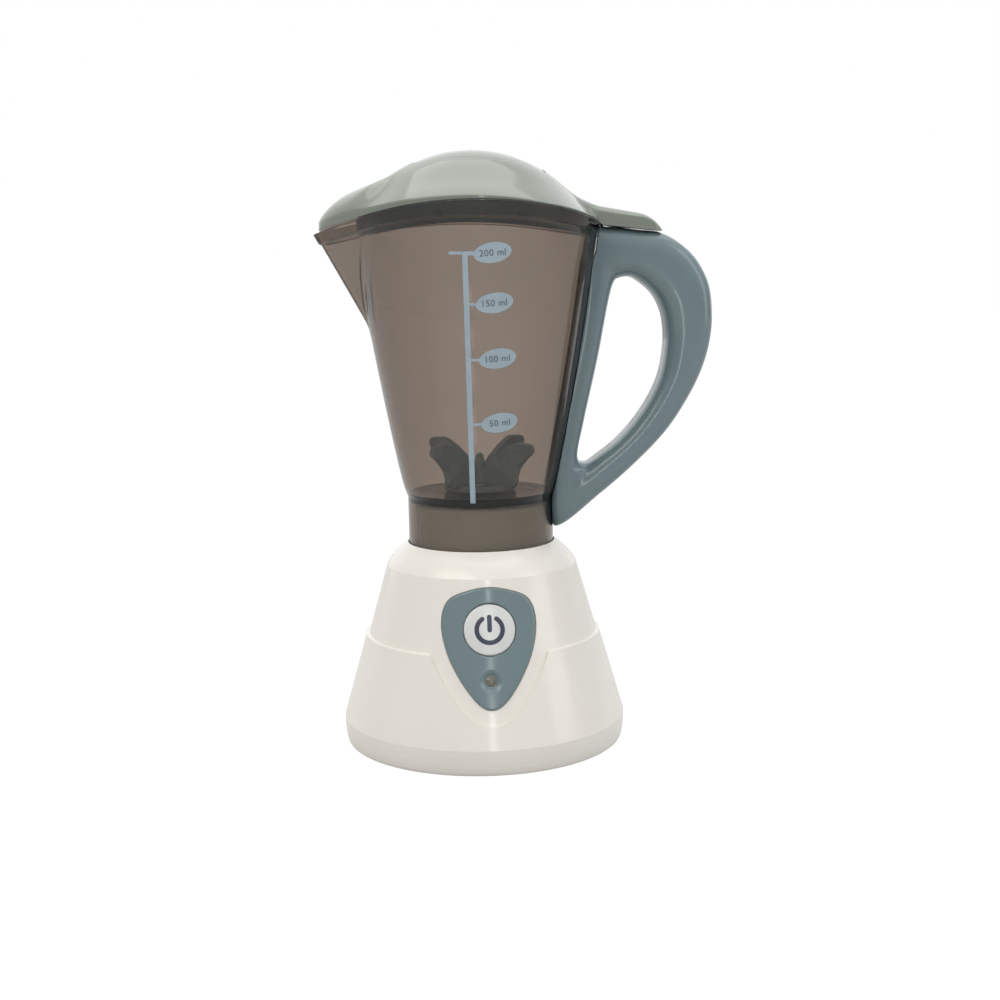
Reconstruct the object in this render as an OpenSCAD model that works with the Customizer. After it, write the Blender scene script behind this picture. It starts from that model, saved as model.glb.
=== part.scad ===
// Toy blender: a white cone-shaped base with a start button, a smoky lift-off jug with a
// looped handle and a pouring lip, a free-spinning impeller and a domed lid.
// Millimetres. +Z is up, the handle points to +X, the lip to -X and the button to -Y.
// The origin is on the jug's axis, on the surface that the base stands on.

/* [Base housing] */
// Radius of the base where it is widest
foot_r = 53.7; // [52.5:0.1:56]
// Height at which the base is widest
foot_z = 9.5; // [7:0.5:12]
// How far the foot is tucked in at the floor
foot_tuck = 1.5; // [0.8:0.1:1.7]
// Radius that the base wall loses for each millimetre of height
cone_slope = 0.2875; // [0.27:0.0025:0.29]
// Height of the raised skirt's top edge
skirt_z = 41.5; // [39:0.5:44]
// How far the skirt stands out of the wall
skirt_step = 1.0; // [0.6:0.1:1.4]
// Height of the ridge where the shoulder begins
shoulder_z = 67.6; // [66.5:0.1:68.5]
// Height of the shoulder's inner edge, at the jug
shoulder_top_z = 76; // [75:0.2:77]
// Wall of the housing
housing_wall = 1.8; // [1.5:0.1:2.1]
// Distance from the axis to the screw posts of the bottom cover
post_at = 37; // [36:0.5:38]
// Radius of those posts
post_r = 3.4; // [3:0.1:3.8]

/* [Control panel] */
// Height of the button's centre
button_z = 50.3; // [49:0.1:51]
// Radius of the button cap
button_r = 9.2; // [8.6:0.1:9.6]
// Gap between the button and its hole
button_gap = 0.3; // [0.2:0.05:0.5]
// Travel of the button
button_travel = 1.5; // [1:0.1:2]
// Half the panel's greatest width
panel_half_w = 17; // [16:0.1:18]
// From the button's centre up to the panel's top edge
panel_top = 15.2; // [14.4:0.1:15.8]
// From the button's centre down to the panel's lowest point
panel_bottom = 28.6; // [27:0.1:30]
// How far the panel stands out of the wall
panel_proud = 0.7; // [0.5:0.1:1]
// Depth of the pocket that holds the panel
panel_pocket = 0.9; // [0.7:0.1:1.1]
// Width of the bare border between the panel and the skirt
panel_border = 5.7; // [5:0.1:6.2]
// From the button's centre down to the indicator
led_drop = 18.3; // [17:0.1:19.5]
// Radius of the indicator's lens, a standard 5 mm lamp
led_r = 2.5; // [2.4:0.05:2.5]
// Radius of the dimple round the indicator
dimple_r = 3.95; // [3.5:0.05:4.3]

/* [Circuit] */
// Distance of the circuit board behind the wall
board_depth = 14; // [13:0.2:15]
// Thickness of the circuit board
board_t = 1.6; // [1.2:0.1:1.8]
// Half the board's width
board_half_w = 14; // [13.4:0.2:15]
// Radius of the wires
wire_r = 0.7; // [0.5:0.05:0.8]

/* [Jug seat and motor] */
// Outer radius of the round seat that stands inside the jug's collar
seat_r = 24.7; // [24.2:0.1:24.9]
// Wall of the seat
seat_wall = 2.2; // [1.8:0.1:2.6]
// Height of the seat's top edge
seat_top_z = 91.2; // [89:0.2:91.4]
// Height of the seat's flange
flange_z = 64.5; // [63.5:0.1:65]
// Thickness of that flange
flange_t = 2; // [1.6:0.1:2.4]
// Height of the underside of the motor deck
deck_z = 80; // [79.5:0.1:80.4]
// Thickness of the motor deck
deck_t = 2.4; // [2:0.1:2.6]
// Length of the motor's steel can
can_len = 21.5; // [20:0.1:22.5]
// Radius of the can
can_r = 10.05; // [9.8:0.05:10.3]
// Half the width across the can's flats
can_flat = 7.7; // [7.4:0.05:8]
// Length of the motor's end cap
cap_len = 3.9; // [3.4:0.1:4.4]
// Radius of the motor shaft
shaft_r = 1.0; // [0.9:0.05:1.1]
// Distance from the axis to the motor's two posts
motor_post_at = 14.5; // [14:0.1:15.5]

/* [Coupling] */
// Radius of the driving star at its teeth
star_r = 4.6; // [4.2:0.1:5]
// Number of teeth on the star
star_teeth = 6; // [4:1:8]
// Height of the star's teeth above its flange
star_h = 5; // [4:0.1:5.4]
// Clearance between the star and its socket
star_gap = 0.3; // [0.2:0.05:0.4]
// Radius of the blade spindle
spindle_r = 1.5; // [1.3:0.05:1.8]
// Clearance between a turning shaft and its hole
running_gap = 0.05; // [0.03:0.01:0.09]

/* [Battery bay] */
// Radius of an AA cell
cell_r = 7.25; // [7:0.05:7.25]
// Length of an AA cell with its nub
cell_len = 50.5; // [49.5:0.1:50.5]
// Space at each end of a cell for its contact
contact_space = 2.75; // [2.4:0.05:3.2]
// Thickness of the bottom cover
cover_t = 2.4; // [2:0.1:2.6]
// Height of the cover above the floor
cover_z = 0.6; // [0.4:0.1:1]
// Wall of the battery bay
bay_wall = 1.6; // [1.3:0.1:2]
// Thickness of the battery door
door_t = 1.8; // [1.5:0.1:1.9]

/* [Jug] */
// Outer radius of the jug's collar
collar_r = 27.4; // [27.1:0.1:27.7]
// Height of the collar's lower edge
collar_z = 72; // [71.6:0.1:72.4]
// Height at which the cone of the jug leaves the collar
cone_z = 93.4; // [93:0.1:94]
// Outer radius of the jug at its rim
rim_r = 45.2; // [44:0.1:46.4]
// Height of the rim beside the handle, at the rim's radius
rim_z = 192; // [188:0.5:196]
// Wall of the jug
jug_wall = 2.0; // [1.7:0.1:2.3]
// Height of the jug's floor, underside
floor_z = 92; // [91.8:0.1:92.2]
// Thickness of the jug's floor
floor_t = 3.0; // [2.4:0.1:3.2]
// Radius of the arch that the rim follows from lip to handle
arch_r = 150; // [140:1:165]
// Height of the arch's crown
arch_top = 201.7; // [198:0.1:205]
// Place of the arch's crown along X
arch_x = -3; // [-5:0.5:0]
// Height of the band round the rim
band_h = 8.2; // [6:0.1:10]
// How far the band stands out
band_step = 0.8; // [0.5:0.1:1]
// Height at which the pouring lip leaves the jug's wall
lip_z = 157; // [152:0.5:162]
// Lean of the lip's ridge from upright, in degrees
lip_lean = 28.8; // [26:0.1:31]
// Rounding of the lip's nose, seen from above
lip_nose_r = 4.4; // [3.5:0.1:5.5]

/* [Handle] */
// Thickness of the handle, from front to back
handle_t = 20; // [18:0.2:22]
// Wall of the two handle shells
handle_wall = 2.0; // [1.6:0.1:2.2]
// Squareness of the handle's section, where 2 is an ellipse
handle_square = 3.2; // [2.6:0.1:4]
// Gap between the handle and the jug
handle_gap = 0.25; // [0.2:0.05:0.4]
// Thickness of the jug's rib inside the handle
rib_t = 2.4; // [2:0.1:2.8]
// Depth of that rib
rib_d = 4.6; // [4:0.1:4.8]

/* [Lid] */
// Radius of the lid's edge
lid_r = 45.2; // [44.6:0.1:45.6]
// Height of the dome over the rim
dome_h = 19.1; // [17:0.1:21]
// Thickness of the lid
lid_wall = 2.0; // [1.7:0.1:2.4]
// Gap between the lid and the rim
lid_gap = 0.4; // [0.35:0.05:0.5]
// Reach of the beak over the pouring lip
beak_reach = 57.6; // [56:0.1:58]
// Height of the beak over the rim
beak_h = 11.8; // [10:0.1:13]
// Reach of the tab over the handle
tab_reach = 68.8; // [64:0.1:72]
// Half the width of that tab
tab_half_w = 10.3; // [9:0.1:12]
// Height of the tab over the rim
tab_h = 6.1; // [5:0.1:7]
// Depth of the skirt that goes into the jug
lid_skirt_h = 5.5; // [4.5:0.1:9]
// Thickness of that skirt
lid_skirt_t = 1.8; // [1.4:0.1:2.2]
// Radius of the cap in the middle of the dome
cap_r = 22; // [20:0.1:24]
// Width of the seam round the cap
cap_seam = 0.2; // [0.1:0.05:0.4]

/* [Impeller] */
// Radius of the impeller's hub
hub_r = 13.7; // [12:0.1:15]
// Thickness of the hub
hub_t = 2.3; // [1.8:0.1:2.8]
// Clearance between the hub and the jug's seal
hub_gap = 0.3; // [0.25:0.05:0.5]
// Radius of the impeller at its fins
fin_r = 25.5; // [22:0.1:26]
// Height of the fins over the hub's underside
fin_h = 18.5; // [16:0.1:20]
// Thickness of a fin
fin_t = 2.6; // [2:0.1:3.2]
// Number of fins
fin_count = 4; // [3:1:6]
// Height of the cone in the middle
finial_h = 13.6; // [10:0.1:15]

/* [Fasteners] */
// Radius of the screws' shanks
screw_r = 1.3; // [1.1:0.05:1.4]
// Radius of the screws' heads
screw_head_r = 2.6; // [2.2:0.1:2.8]

/* [Hidden] */
$fn = 96;
far = 120;
touch = 0.01;
fit = 0.3;

white = "#eceae4";
grey_blue = "#748689";
smoke = "#6b625b";
steel = "#b8bcc0";
dark = "#3a3d40";

// ---- Sizes that follow from the driving ones ----

function skirt_r(z) = foot_r - (z - foot_z) * cone_slope;
function wall_r(z) = skirt_r(z) - skirt_step;
cone_angle = atan(cone_slope);
wall_flat = housing_wall / cos(cone_angle);
seat_bore_r = collar_r + 0.4;
shoulder_r = wall_r(shoulder_z);
shoulder_drop = (shoulder_top_z - shoulder_z) / (shoulder_r - seat_bore_r);
shoulder_skin = housing_wall * sqrt(1 + shoulder_drop * shoulder_drop);
function shoulder_under(r) = shoulder_top_z - (r - seat_bore_r) * shoulder_drop - shoulder_skin;
inner_corner_z = (shoulder_top_z - shoulder_skin + shoulder_drop * (seat_bore_r - wall_r(0) + wall_flat))
    / (1 - shoulder_drop * cone_slope);
inner_corner_r = wall_r(inner_corner_z) - wall_flat;
inner_foot_r = wall_r(foot_z) - wall_flat;
post_top_z = foot_z + (foot_r - skirt_step - post_at - post_r) / cone_slope - 1;

cell_y = cell_r + 0.25;
bay_half_x = cell_len / 2 + contact_space;
bay_half_y = 2 * cell_r + 0.6;
cover_top_z = cover_z + cover_t;
door_top_z = cover_z + door_t;
cell_z = cover_top_z + 0.4 + cell_r;
bay_roof_z = cell_z + cell_r + 0.35;
bay_top_z = bay_roof_z + bay_wall;
ledge_w = 2.6;
door_half_y = bay_half_y + 1.9;
door_x0 = -bay_half_x - 1.9;
door_screw_x = bay_half_x + 5;
door_x1 = door_screw_x + screw_head_r + 1.4;
cover_screw_head_t = 1.6;
cover_screw_len = 13;
clamp_screw_bite = 9;
door_screw_len = 7;

ledge_z = collar_z;
seat_ledge_r = seat_bore_r - 0.3;
seat_boss_at = 30.5;
seat_boss_r = 2.7;
flange_top_z = flange_z + flange_t;
deck_top_z = deck_z + deck_t;
can_z = deck_z - can_len;
cap_z = can_z - cap_len;
clamp_t = 2.4;
nose_r = 3.05;
motor_post_r = 2.8;

dog_z = deck_top_z + 0.5;
dog_flange_t = 1.5;
dog_flange_r = 7;
star_z = dog_z + dog_flange_t;
star_top_z = star_z + star_h;
star_valley_r = star_r - 1.3;
blade_dog_z = star_z + 0.4;
blade_dog_r = 7.5;
bush_r = 3.5;
bush_flange_r = 6;
bush_flange_t = 0.5;
blade_dog_top_z = floor_z - bush_flange_t - fit;
socket_top_z = star_top_z + fit;

floor_top_z = floor_z + floor_t;
seal_h = 0.5;
hub_z = floor_top_z + seal_h + hub_gap;

// Outer radius of the jug at a height: a collar, a flare and a slightly swelling cone.
jug_profile = [[collar_z, collar_r], [cone_z, collar_r], [cone_z + 3, collar_r + 1.2],
    [cone_z + 10, collar_r + 2.9], [cone_z + 0.357 * (rim_z - cone_z), collar_r + 0.438 * (rim_r - collar_r)],
    [cone_z + 0.645 * (rim_z - cone_z), collar_r + 0.713 * (rim_r - collar_r)], [rim_z, rim_r],
    [rim_z + 12, rim_r + 1.7]];
function jug_r(z) = lookup(z, jug_profile);
function arch_z(x) = arch_top - arch_r + sqrt(arch_r * arch_r - (x - arch_x) * (x - arch_x));
lip_x = jug_r(lip_z);
lip_root = 6;
lip_len = (arch_top - lip_z) / cos(lip_lean) + lip_root + 7;

button_y = -wall_r(button_z);
button_hole_r = button_r + button_gap;
housing_hole_r = button_r + 1.5;
board_w = -board_depth;
board_v = [-25, 11];
board_screw_uv = [for (u = [-1, 1], v = [-21, 7.5]) [u * (board_half_w - 2.6), v]];
board_boss_r = 2.1;
switch_h = 4.5;
switch_top_w = board_w + switch_h;
plunger_r = 1.75;
plunger_in = 0.8;
button_back_w = -3.6;
button_stem = 1;

// ---- Shapes that several pieces share ----

// Points along a closed smooth curve through the given points.
function loop_at(p, i, t) =
    let (n = len(p), a = p[(i + n - 1) % n], b = p[i], c = p[(i + 1) % n], d = p[(i + 2) % n])
    0.5 * (2 * b + (c - a) * t + (2 * a - 5 * b + 4 * c - d) * t * t + (3 * b - 3 * c + d - a) * t * t * t);
function smooth_loop(p, steps) =
    [for (i = [0 : len(p) - 1], k = [0 : steps - 1]) loop_at(p, i, k / steps)];

// A closed outline moved outwards by d along its own normals.
function grown(p, d) =
    [for (i = [0 : len(p) - 1])
        let (t = p[(i + 1) % len(p)] - p[(i + len(p) - 1) % len(p)])
        p[i] + d * [t[1], -t[0]] / norm(t)];

// The panel's rounded-triangle outline, anticlockwise, with the button's centre at 0, 0.
panel_right = [[0.265, -0.927], [0.565, -0.696], [0.829, -0.392], [0.965, -0.12]];
panel_cut = 20;
panel_outline = let (w = panel_half_w, b = panel_bottom, t = panel_top)
    smooth_loop(concat(
        [[0, -b]],
        [for (p = panel_right) [p[0] * w, p[1] * b]],
        [[w, 0.24 * t], [0.91 * w, 0.63 * t], [0.67 * w, 0.85 * t], [0, t]],
        [[-0.67 * w, 0.85 * t], [-0.91 * w, 0.63 * t], [-w, 0.24 * t]],
        [for (i = [3 : -1 : 0]) [-panel_right[i][0] * w, panel_right[i][1] * b]]), 4);

// Puts children drawn on X, Y with Z outwards onto the front wall at the button's centre.
module on_front() {
    translate([0, button_y, button_z]) rotate([90 - cone_angle, 0, 0]) children();
}

// The same place for a point u along X, v up the wall and w out of it.
function front_point(u, v, w) =
    [u, button_y + v * sin(cone_angle) - w * cos(cone_angle), button_z + v * cos(cone_angle) + w * sin(cone_angle)];

// A solid of revolution of the base wall, moved out by d, between two heights.
module wall_cone(z0, z1, d) {
    translate([0, 0, z0]) cylinder(h = z1 - z0, r1 = wall_r(z0) + d, r2 = wall_r(z1) + d);
}

// Material below the arch of the rim, moved up by d.
module below_arch(d) {
    translate([arch_x, 0, arch_top - arch_r]) rotate([90, 0, 0])
        cylinder(h = 2 * far, r = arch_r + d, center = true, $fn = 360);
}

module ring(r0, r1, z0, z1) {
    rotate_extrude() translate([r0, z0]) square([r1 - r0, z1 - z0]);
}

// A pan-head screw with its head's underside at the origin and its shank along +Z.
module screw(len, head_t) {
    cylinder(h = len, r = screw_r);
    translate([0, 0, -head_t]) difference() {
        cylinder(h = head_t, r = screw_head_r);
        for (a = [0, 90]) rotate(a) translate([-1.5, -0.3, -1]) cube([3, 0.6, 1.8]);
    }
}

module around(places) {
    for (p = places) translate(p) children();
}
cover_screws = [for (a = [45 : 90 : 315]) [post_at * cos(a), post_at * sin(a), cover_top_z]];
seat_screw_places = [for (a = [90, 210, 330]) [seat_boss_at * cos(a), seat_boss_at * sin(a), flange_z]];
clamp_screw_places = [for (s = [-1, 1]) [s * motor_post_at, 0, cap_z - clamp_t]];

// A tube of eight sides along a list of points. Each ring's first corner is the last ring's,
// carried along without twist.
function unit(v) = v / norm(v);
function heading(p, i) = unit(p[min(i + 1, len(p) - 1)] - p[max(i - 1, 0)]);
function square_to(u, d) = unit(u - (u * d) * d);
function tube_points(p, r) =
    [for (i = 0, u = square_to([0.3, 0.5, 0.8], heading(p, 0)); i < len(p);
            i = i + 1, u = square_to(u, heading(p, min(i, len(p) - 1))))
        let (v = cross(heading(p, i), u))
        each [for (a = [0 : 45 : 315]) p[i] + r * (cos(a) * u + sin(a) * v)]];
module tube(p, r) {
    n = len(p);
    polyhedron(tube_points(p, r),
        concat([[for (k = [7 : -1 : 0]) k]], [[for (k = [0 : 7]) (n - 1) * 8 + k]],
            [for (i = [0 : n - 2], k = [0 : 7]) let (a = i * 8 + k, b = i * 8 + (k + 1) % 8)
                [a, b, b + 8, a + 8]]));
}

// ---- Base ----

module foot_profile() {
    polygon(concat(
        [[inner_foot_r, 0]],
        [for (t = [0 : 15 : 90]) [foot_r - foot_tuck * (1 - sin(t)), foot_z * (1 - cos(t))]],
        [[skirt_r(skirt_z - 0.4), skirt_z - 0.4], [skirt_r(skirt_z) - 0.3, skirt_z],
            [wall_r(skirt_z) - housing_wall / 2, skirt_z], [inner_foot_r, foot_z]]));
}

module shell_profile() {
    mid = [(shoulder_r + seat_bore_r) / 2, (shoulder_z + shoulder_top_z) / 2] + [1.0, 1.0];
    a = [shoulder_r, shoulder_z];
    b = [seat_bore_r, shoulder_top_z];
    polygon(concat(
        [[inner_foot_r, 0.5], [wall_r(foot_z), foot_z]],
        [for (t = [0 : 0.125 : 1]) (1 - t) * (1 - t) * a + 2 * t * (1 - t) * mid + t * t * b],
        [[seat_bore_r, shoulder_under(seat_bore_r)], [inner_corner_r, inner_corner_z], [inner_foot_r, foot_z]]));
}

module base_housing() {
    color(white) difference() {
        union() {
            rotate_extrude($fn = 180) shell_profile();
            difference() {
                rotate_extrude($fn = 180) foot_profile();
                on_front() linear_extrude(height = panel_cut, center = true) polygon(grown(panel_outline, panel_border));
            }
            intersection() {
                union() {
                    around(cover_screws) cylinder(h = post_top_z - cover_top_z, r = post_r);
                    around([for (p = seat_screw_places) [p[0], p[1], flange_top_z]])
                        cylinder(h = shoulder_under(seat_boss_at) - flange_top_z + 1, r = seat_boss_r);
                    on_front() around([for (p = board_screw_uv) [p[0], p[1], board_w]])
                        cylinder(h = board_depth - housing_wall / 2, r = board_boss_r);
                }
                union() {
                    wall_cone(0, inner_corner_z, -wall_flat / 2);
                    translate([0, 0, inner_corner_z]) cylinder(h = 8, r = inner_corner_r);
                }
            }
        }
        pocket();
        on_front() cylinder(h = 12, r = housing_hole_r, center = true);
        on_front() translate([0, -led_drop, 0]) cylinder(h = 12, r = led_r + 1, center = true);
        around(cover_screws) cylinder(h = cover_screw_len + 1, r = screw_r);
        around([for (p = seat_screw_places) [p[0], p[1], flange_top_z]]) cylinder(h = 4, r = screw_r);
        on_front() around([for (p = board_screw_uv) [p[0], p[1], board_w]]) cylinder(h = 6, r = screw_r);
    }
}

// The shallow pocket in the wall that the panel lies in.
module pocket() {
    difference() {
        on_front() linear_extrude(height = panel_cut, center = true) polygon(grown(panel_outline, 0.15));
        wall_cone(0, shoulder_z, -panel_pocket);
    }
}

module control_panel() {
    color(grey_blue) difference() {
        intersection() {
            on_front() linear_extrude(height = panel_cut, center = true) polygon(panel_outline);
            difference() {
                wall_cone(0, shoulder_z, panel_proud);
                wall_cone(-1, shoulder_z + 1, -panel_pocket);
            }
        }
        on_front() cylinder(h = 12, r = button_hole_r, center = true);
        on_front() translate([0, -led_drop, 0]) {
            cylinder(h = 12, r = led_r + 0.1, center = true);
            translate([0, 0, -0.1]) cylinder(h = 1, r1 = led_r + 0.1, r2 = dimple_r + 0.3);
        }
    }
}

// A 5 mm lamp: domed lens, flange and two leads down to the board.
module indicator_led() {
    lens_w = -0.1;
    flange_w = -8;
    color("#8a8780") on_front() translate([0, -led_drop, 0]) {
        rotate_extrude($fn = 48) polygon(concat(
            [[0, flange_w], [led_r + 0.4, flange_w], [led_r + 0.4, flange_w + 1], [led_r, flange_w + 1]],
            [for (t = [0 : 10 : 90]) [led_r * cos(t), lens_w - 1.6 + 1.6 * sin(t)]]));
        for (s = [-1, 1]) translate([s * 1.27, 0, board_w]) cylinder(h = flange_w - board_w + touch, r = 0.3, $fn = 24);
    }
}

module circuit_board() {
    color("#2f6b46") on_front() difference() {
        translate([-board_half_w, board_v[0], board_w - board_t])
            cube([2 * board_half_w, board_v[1] - board_v[0], board_t]);
        around([for (p = board_screw_uv) [p[0], p[1], board_w - board_t - 1]]) cylinder(h = board_t + 2, r = screw_r + 0.1);
    }
}

module switch_body() {
    color(dark) on_front() difference() {
        translate([-3.1, -3.1, board_w]) cube([6.2, 6.2, switch_h]);
        translate([0, 0, switch_top_w - plunger_in - button_travel - 0.7])
            cylinder(h = plunger_in + button_travel + 1.7, r = plunger_r + running_gap);
    }
}

module jug_seat() {
    r_in = seat_r - seat_wall;
    color("#a3b3b4") difference() {
        union() {
            rotate_extrude() polygon([[r_in, flange_z], [inner_corner_r - 0.6, flange_z],
                [inner_corner_r - 0.6, flange_top_z], [seat_ledge_r, flange_top_z], [seat_ledge_r, ledge_z],
                [seat_r, ledge_z], [seat_r, seat_top_z - 0.8], [seat_r - 0.8, seat_top_z], [r_in, seat_top_z]]);
            translate([0, 0, deck_z]) cylinder(h = deck_t, r = r_in + 1);
            for (s = [-1, 1]) translate([s * motor_post_at, 0, cap_z]) cylinder(h = deck_z - cap_z + 1, r = motor_post_r);
        }
        translate([0, 0, deck_z - 1]) cylinder(h = deck_t + 2, r = nose_r + 0.2);
        around([for (p = seat_screw_places) p - [0, 0, 1]]) cylinder(h = flange_t + 2, r = screw_r + 0.2);
        around([for (p = clamp_screw_places) [p[0], p[1], cap_z]]) cylinder(h = 10, r = screw_r);
    }
}

module motor_section(r, flat, z0, h) {
    intersection() {
        translate([0, 0, z0]) cylinder(h = h, r = r);
        translate([-far / 2, -flat, z0 - 1]) cube([far, 2 * flat, h + 2]);
    }
}

module motor_can() {
    color(steel) difference() {
        union() {
            motor_section(can_r, can_flat, can_z, can_len);
            translate([0, 0, deck_z - touch]) cylinder(h = 1.6, r = nose_r);
        }
        translate([0, 0, can_z - 1]) cylinder(h = can_len + 4, r = shaft_r + running_gap);
    }
}

module motor_end_cap() {
    color(dark) difference() {
        motor_section(can_r - 0.3, can_flat - 0.3, cap_z, cap_len);
        translate([0, 0, cap_z - 1]) cylinder(h = cap_len + 2, r = shaft_r + running_gap);
    }
}

// The strap under the motor, which two screws pull up to the seat's posts.
module motor_clamp() {
    z = cap_z - clamp_t;
    color(dark) difference() {
        union() {
            translate([-motor_post_at, -5, z]) cube([2 * motor_post_at, 10, clamp_t]);
            for (s = [-1, 1]) translate([s * motor_post_at, 0, z]) cylinder(h = clamp_t, r = 5);
        }
        translate([0, 0, z - 1]) cylinder(h = clamp_t + 2, r = 3);
        around([for (p = clamp_screw_places) p - [0, 0, 1]]) cylinder(h = clamp_t + 2, r = screw_r + 0.2);
    }
}

module bottom_cover() {
    color(white) difference() {
        union() {
            translate([0, 0, cover_z]) cylinder(h = cover_t, r = inner_foot_r - fit);
            translate([-bay_half_x - bay_wall, -bay_half_y - bay_wall, cover_z])
                cube([2 * (bay_half_x + bay_wall), 2 * (bay_half_y + bay_wall), bay_top_z - cover_z]);
            translate([door_x0 - ledge_w, -door_half_y - ledge_w, cover_top_z - touch])
                cube([door_x1 - door_x0 + 2 * ledge_w, 2 * (door_half_y + ledge_w), bay_wall]);
            translate([door_screw_x, 0, cover_top_z]) cylinder(h = 8, r = 3);
        }
        translate([-bay_half_x, -bay_half_y, -1]) cube([2 * bay_half_x, 2 * bay_half_y, bay_roof_z + 1]);
        translate([door_x0 - fit, -door_half_y - fit, -1])
            cube([door_x1 - door_x0 + 2 * fit, 2 * (door_half_y + fit), cover_top_z + 1 - touch]);
        around([for (p = cover_screws) [p[0], p[1], -1]]) {
            cylinder(h = 8, r = screw_r + 0.2);
            cylinder(h = 1 + cover_z + cover_screw_head_t - 0.4, r = screw_head_r + 0.3);
        }
        translate([door_screw_x, 0, cover_top_z - 1]) cylinder(h = 9, r = screw_r + 0.1);
    }
}

module cell() {
    nub = 1;
    rotate([0, 90, 0]) {
        translate([0, 0, -cell_len / 2]) cylinder(h = cell_len - nub, r = cell_r);
        translate([0, 0, cell_len / 2 - nub - touch]) cylinder(h = nub + touch, r = 2.75);
    }
}

module batteries() {
    color("#4a5a66") for (s = [-1, 1]) translate([0, s * cell_y, cell_z]) rotate(s * 90 - 90) cell();
}

// Flat contact plates and the tapered springs that press on the cells.
module battery_contacts() {
    plate_t = 0.4;
    reach = contact_space - plate_t;
    color(steel) for (s = [-1, 1], e = [-1, 1])
        translate([e * bay_half_x, s * cell_y, cell_z]) rotate([0, -e * 90, 0]) {
            translate([-5, -5, 0]) cube([10, 10, plate_t]);
            if (s * e < 0)
                translate([0, 0, plate_t - touch])
                    rotate_extrude() polygon([[3.2, 0], [4, 0], [2.8, reach - 0.05], [2, reach - 0.05]]);
            else
                translate([0, 0, plate_t - touch]) cylinder(h = reach - 0.05, r = 2);
        }
}

module housing_screws() {
    head_z = cover_z + cover_screw_head_t - 0.4;
    color(steel) around([for (p = cover_screws) [p[0], p[1], head_z]]) screw(cover_screw_len, cover_screw_head_t - 0.4);
}

module seat_screws() {
    color(steel) around(seat_screw_places) screw(flange_t + 3.8, 1.8);
}

module clamp_screws() {
    color(steel) around(clamp_screw_places) screw(clamp_t + clamp_screw_bite, 1.8);
}

module board_screws() {
    color(steel) on_front() around([for (p = board_screw_uv) [p[0], p[1], board_w - board_t]]) screw(board_t + 5, 1.6);
}

// Wires from the battery contacts and the motor to the board.
module wires(side) {
    x = side * (bay_half_x + bay_wall + 1.5);
    back_w = board_w - board_t - 0.05;
    motor_y = 1.2 - can_flat;
    tube([[side * (bay_half_x + bay_wall), -cell_y, cell_z], [x, -cell_y, cell_z], [x, -cell_y, cell_z + 2],
        [x, -cell_y - 1, cell_z + 10], [x - side * 8, -12, bay_top_z + 6],
        front_point(side * 8, -9, back_w - 5), front_point(side * 8, -9, back_w)], wire_r);
    tube([front_point(side * 5, -4, back_w), front_point(side * 5, -4, back_w - 4),
        [side * 4.5, motor_y - 4, cap_z - 6], [side * 4.5, motor_y, cap_z - 5], [side * 4.5, motor_y, cap_z]], wire_r);
}

module wires_red() {
    color("#a83232") wires(-1);
}

module wires_black() {
    color("#26282a") wires(1);
}

// ---- Battery door, which lifts off downwards with its captive screw ----

module battery_door() {
    color(white) difference() {
        union() {
            translate([door_x0, -door_half_y, cover_z]) cube([door_x1 - door_x0, 2 * door_half_y, door_t]);
            for (x = [-0.7, -0.35, 0, 0.35, 0.7]) translate([x * bay_half_x - 0.6, -bay_half_y + 1, door_top_z - touch])
                cube([1.2, 2 * bay_half_y - 2, 0.5]);
        }
        translate([door_screw_x, 0, 0]) cylinder(h = cover_z + 0.9, r = screw_head_r + 0.3);
        translate([door_screw_x, 0, 0]) cylinder(h = 8, r = screw_r);
    }
}

module door_screw() {
    color(steel) translate([door_screw_x, 0, cover_z + 0.9]) screw(door_screw_len, 0.8);
}

// ---- Button ----

module power_button() {
    crown = 0.7;
    rim_w = panel_proud - 0.4;
    back_w = button_back_w;
    color("#d2d5d5") on_front() rotate_extrude() polygon([[0, back_w - button_stem], [2.4, back_w - button_stem], [2.4, back_w],
        [button_r + 1.1, back_w], [button_r + 1.1, back_w + 0.9], [button_r, back_w + 0.9], [button_r, rim_w - 0.4],
        [button_r - 0.4, rim_w], [0.7 * button_r, rim_w + 0.6 * crown], [0.35 * button_r, rim_w + 0.9 * crown],
        [0, rim_w + crown]]);
}

module switch_plunger() {
    color("#1f2124") on_front() translate([0, 0, switch_top_w - plunger_in])
        cylinder(h = button_back_w - button_stem - switch_top_w + plunger_in, r = plunger_r);
}

// ---- Drive ----

module star(r_tip, r_valley) {
    polygon([for (a = [0 : 6 : 354]) let (r = (r_tip + r_valley) / 2 + (r_tip - r_valley) / 2 * cos(star_teeth * a))
        r * [cos(a), sin(a)]]);
}

module motor_shaft() {
    color(steel) translate([0, 0, cap_z - 0.8]) cylinder(h = star_top_z - 1.5 - cap_z + 0.8, r = shaft_r);
}

module drive_dog() {
    color(dark) difference() {
        union() {
            translate([0, 0, dog_z]) cylinder(h = dog_flange_t, r = dog_flange_r);
            translate([0, 0, star_z - touch]) linear_extrude(height = star_h + touch) star(star_r, star_valley_r);
        }
        translate([0, 0, dog_z - 1]) cylinder(h = star_top_z - 1.5 - dog_z + 1, r = shaft_r);
    }
}

// ---- Jug ----

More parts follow.
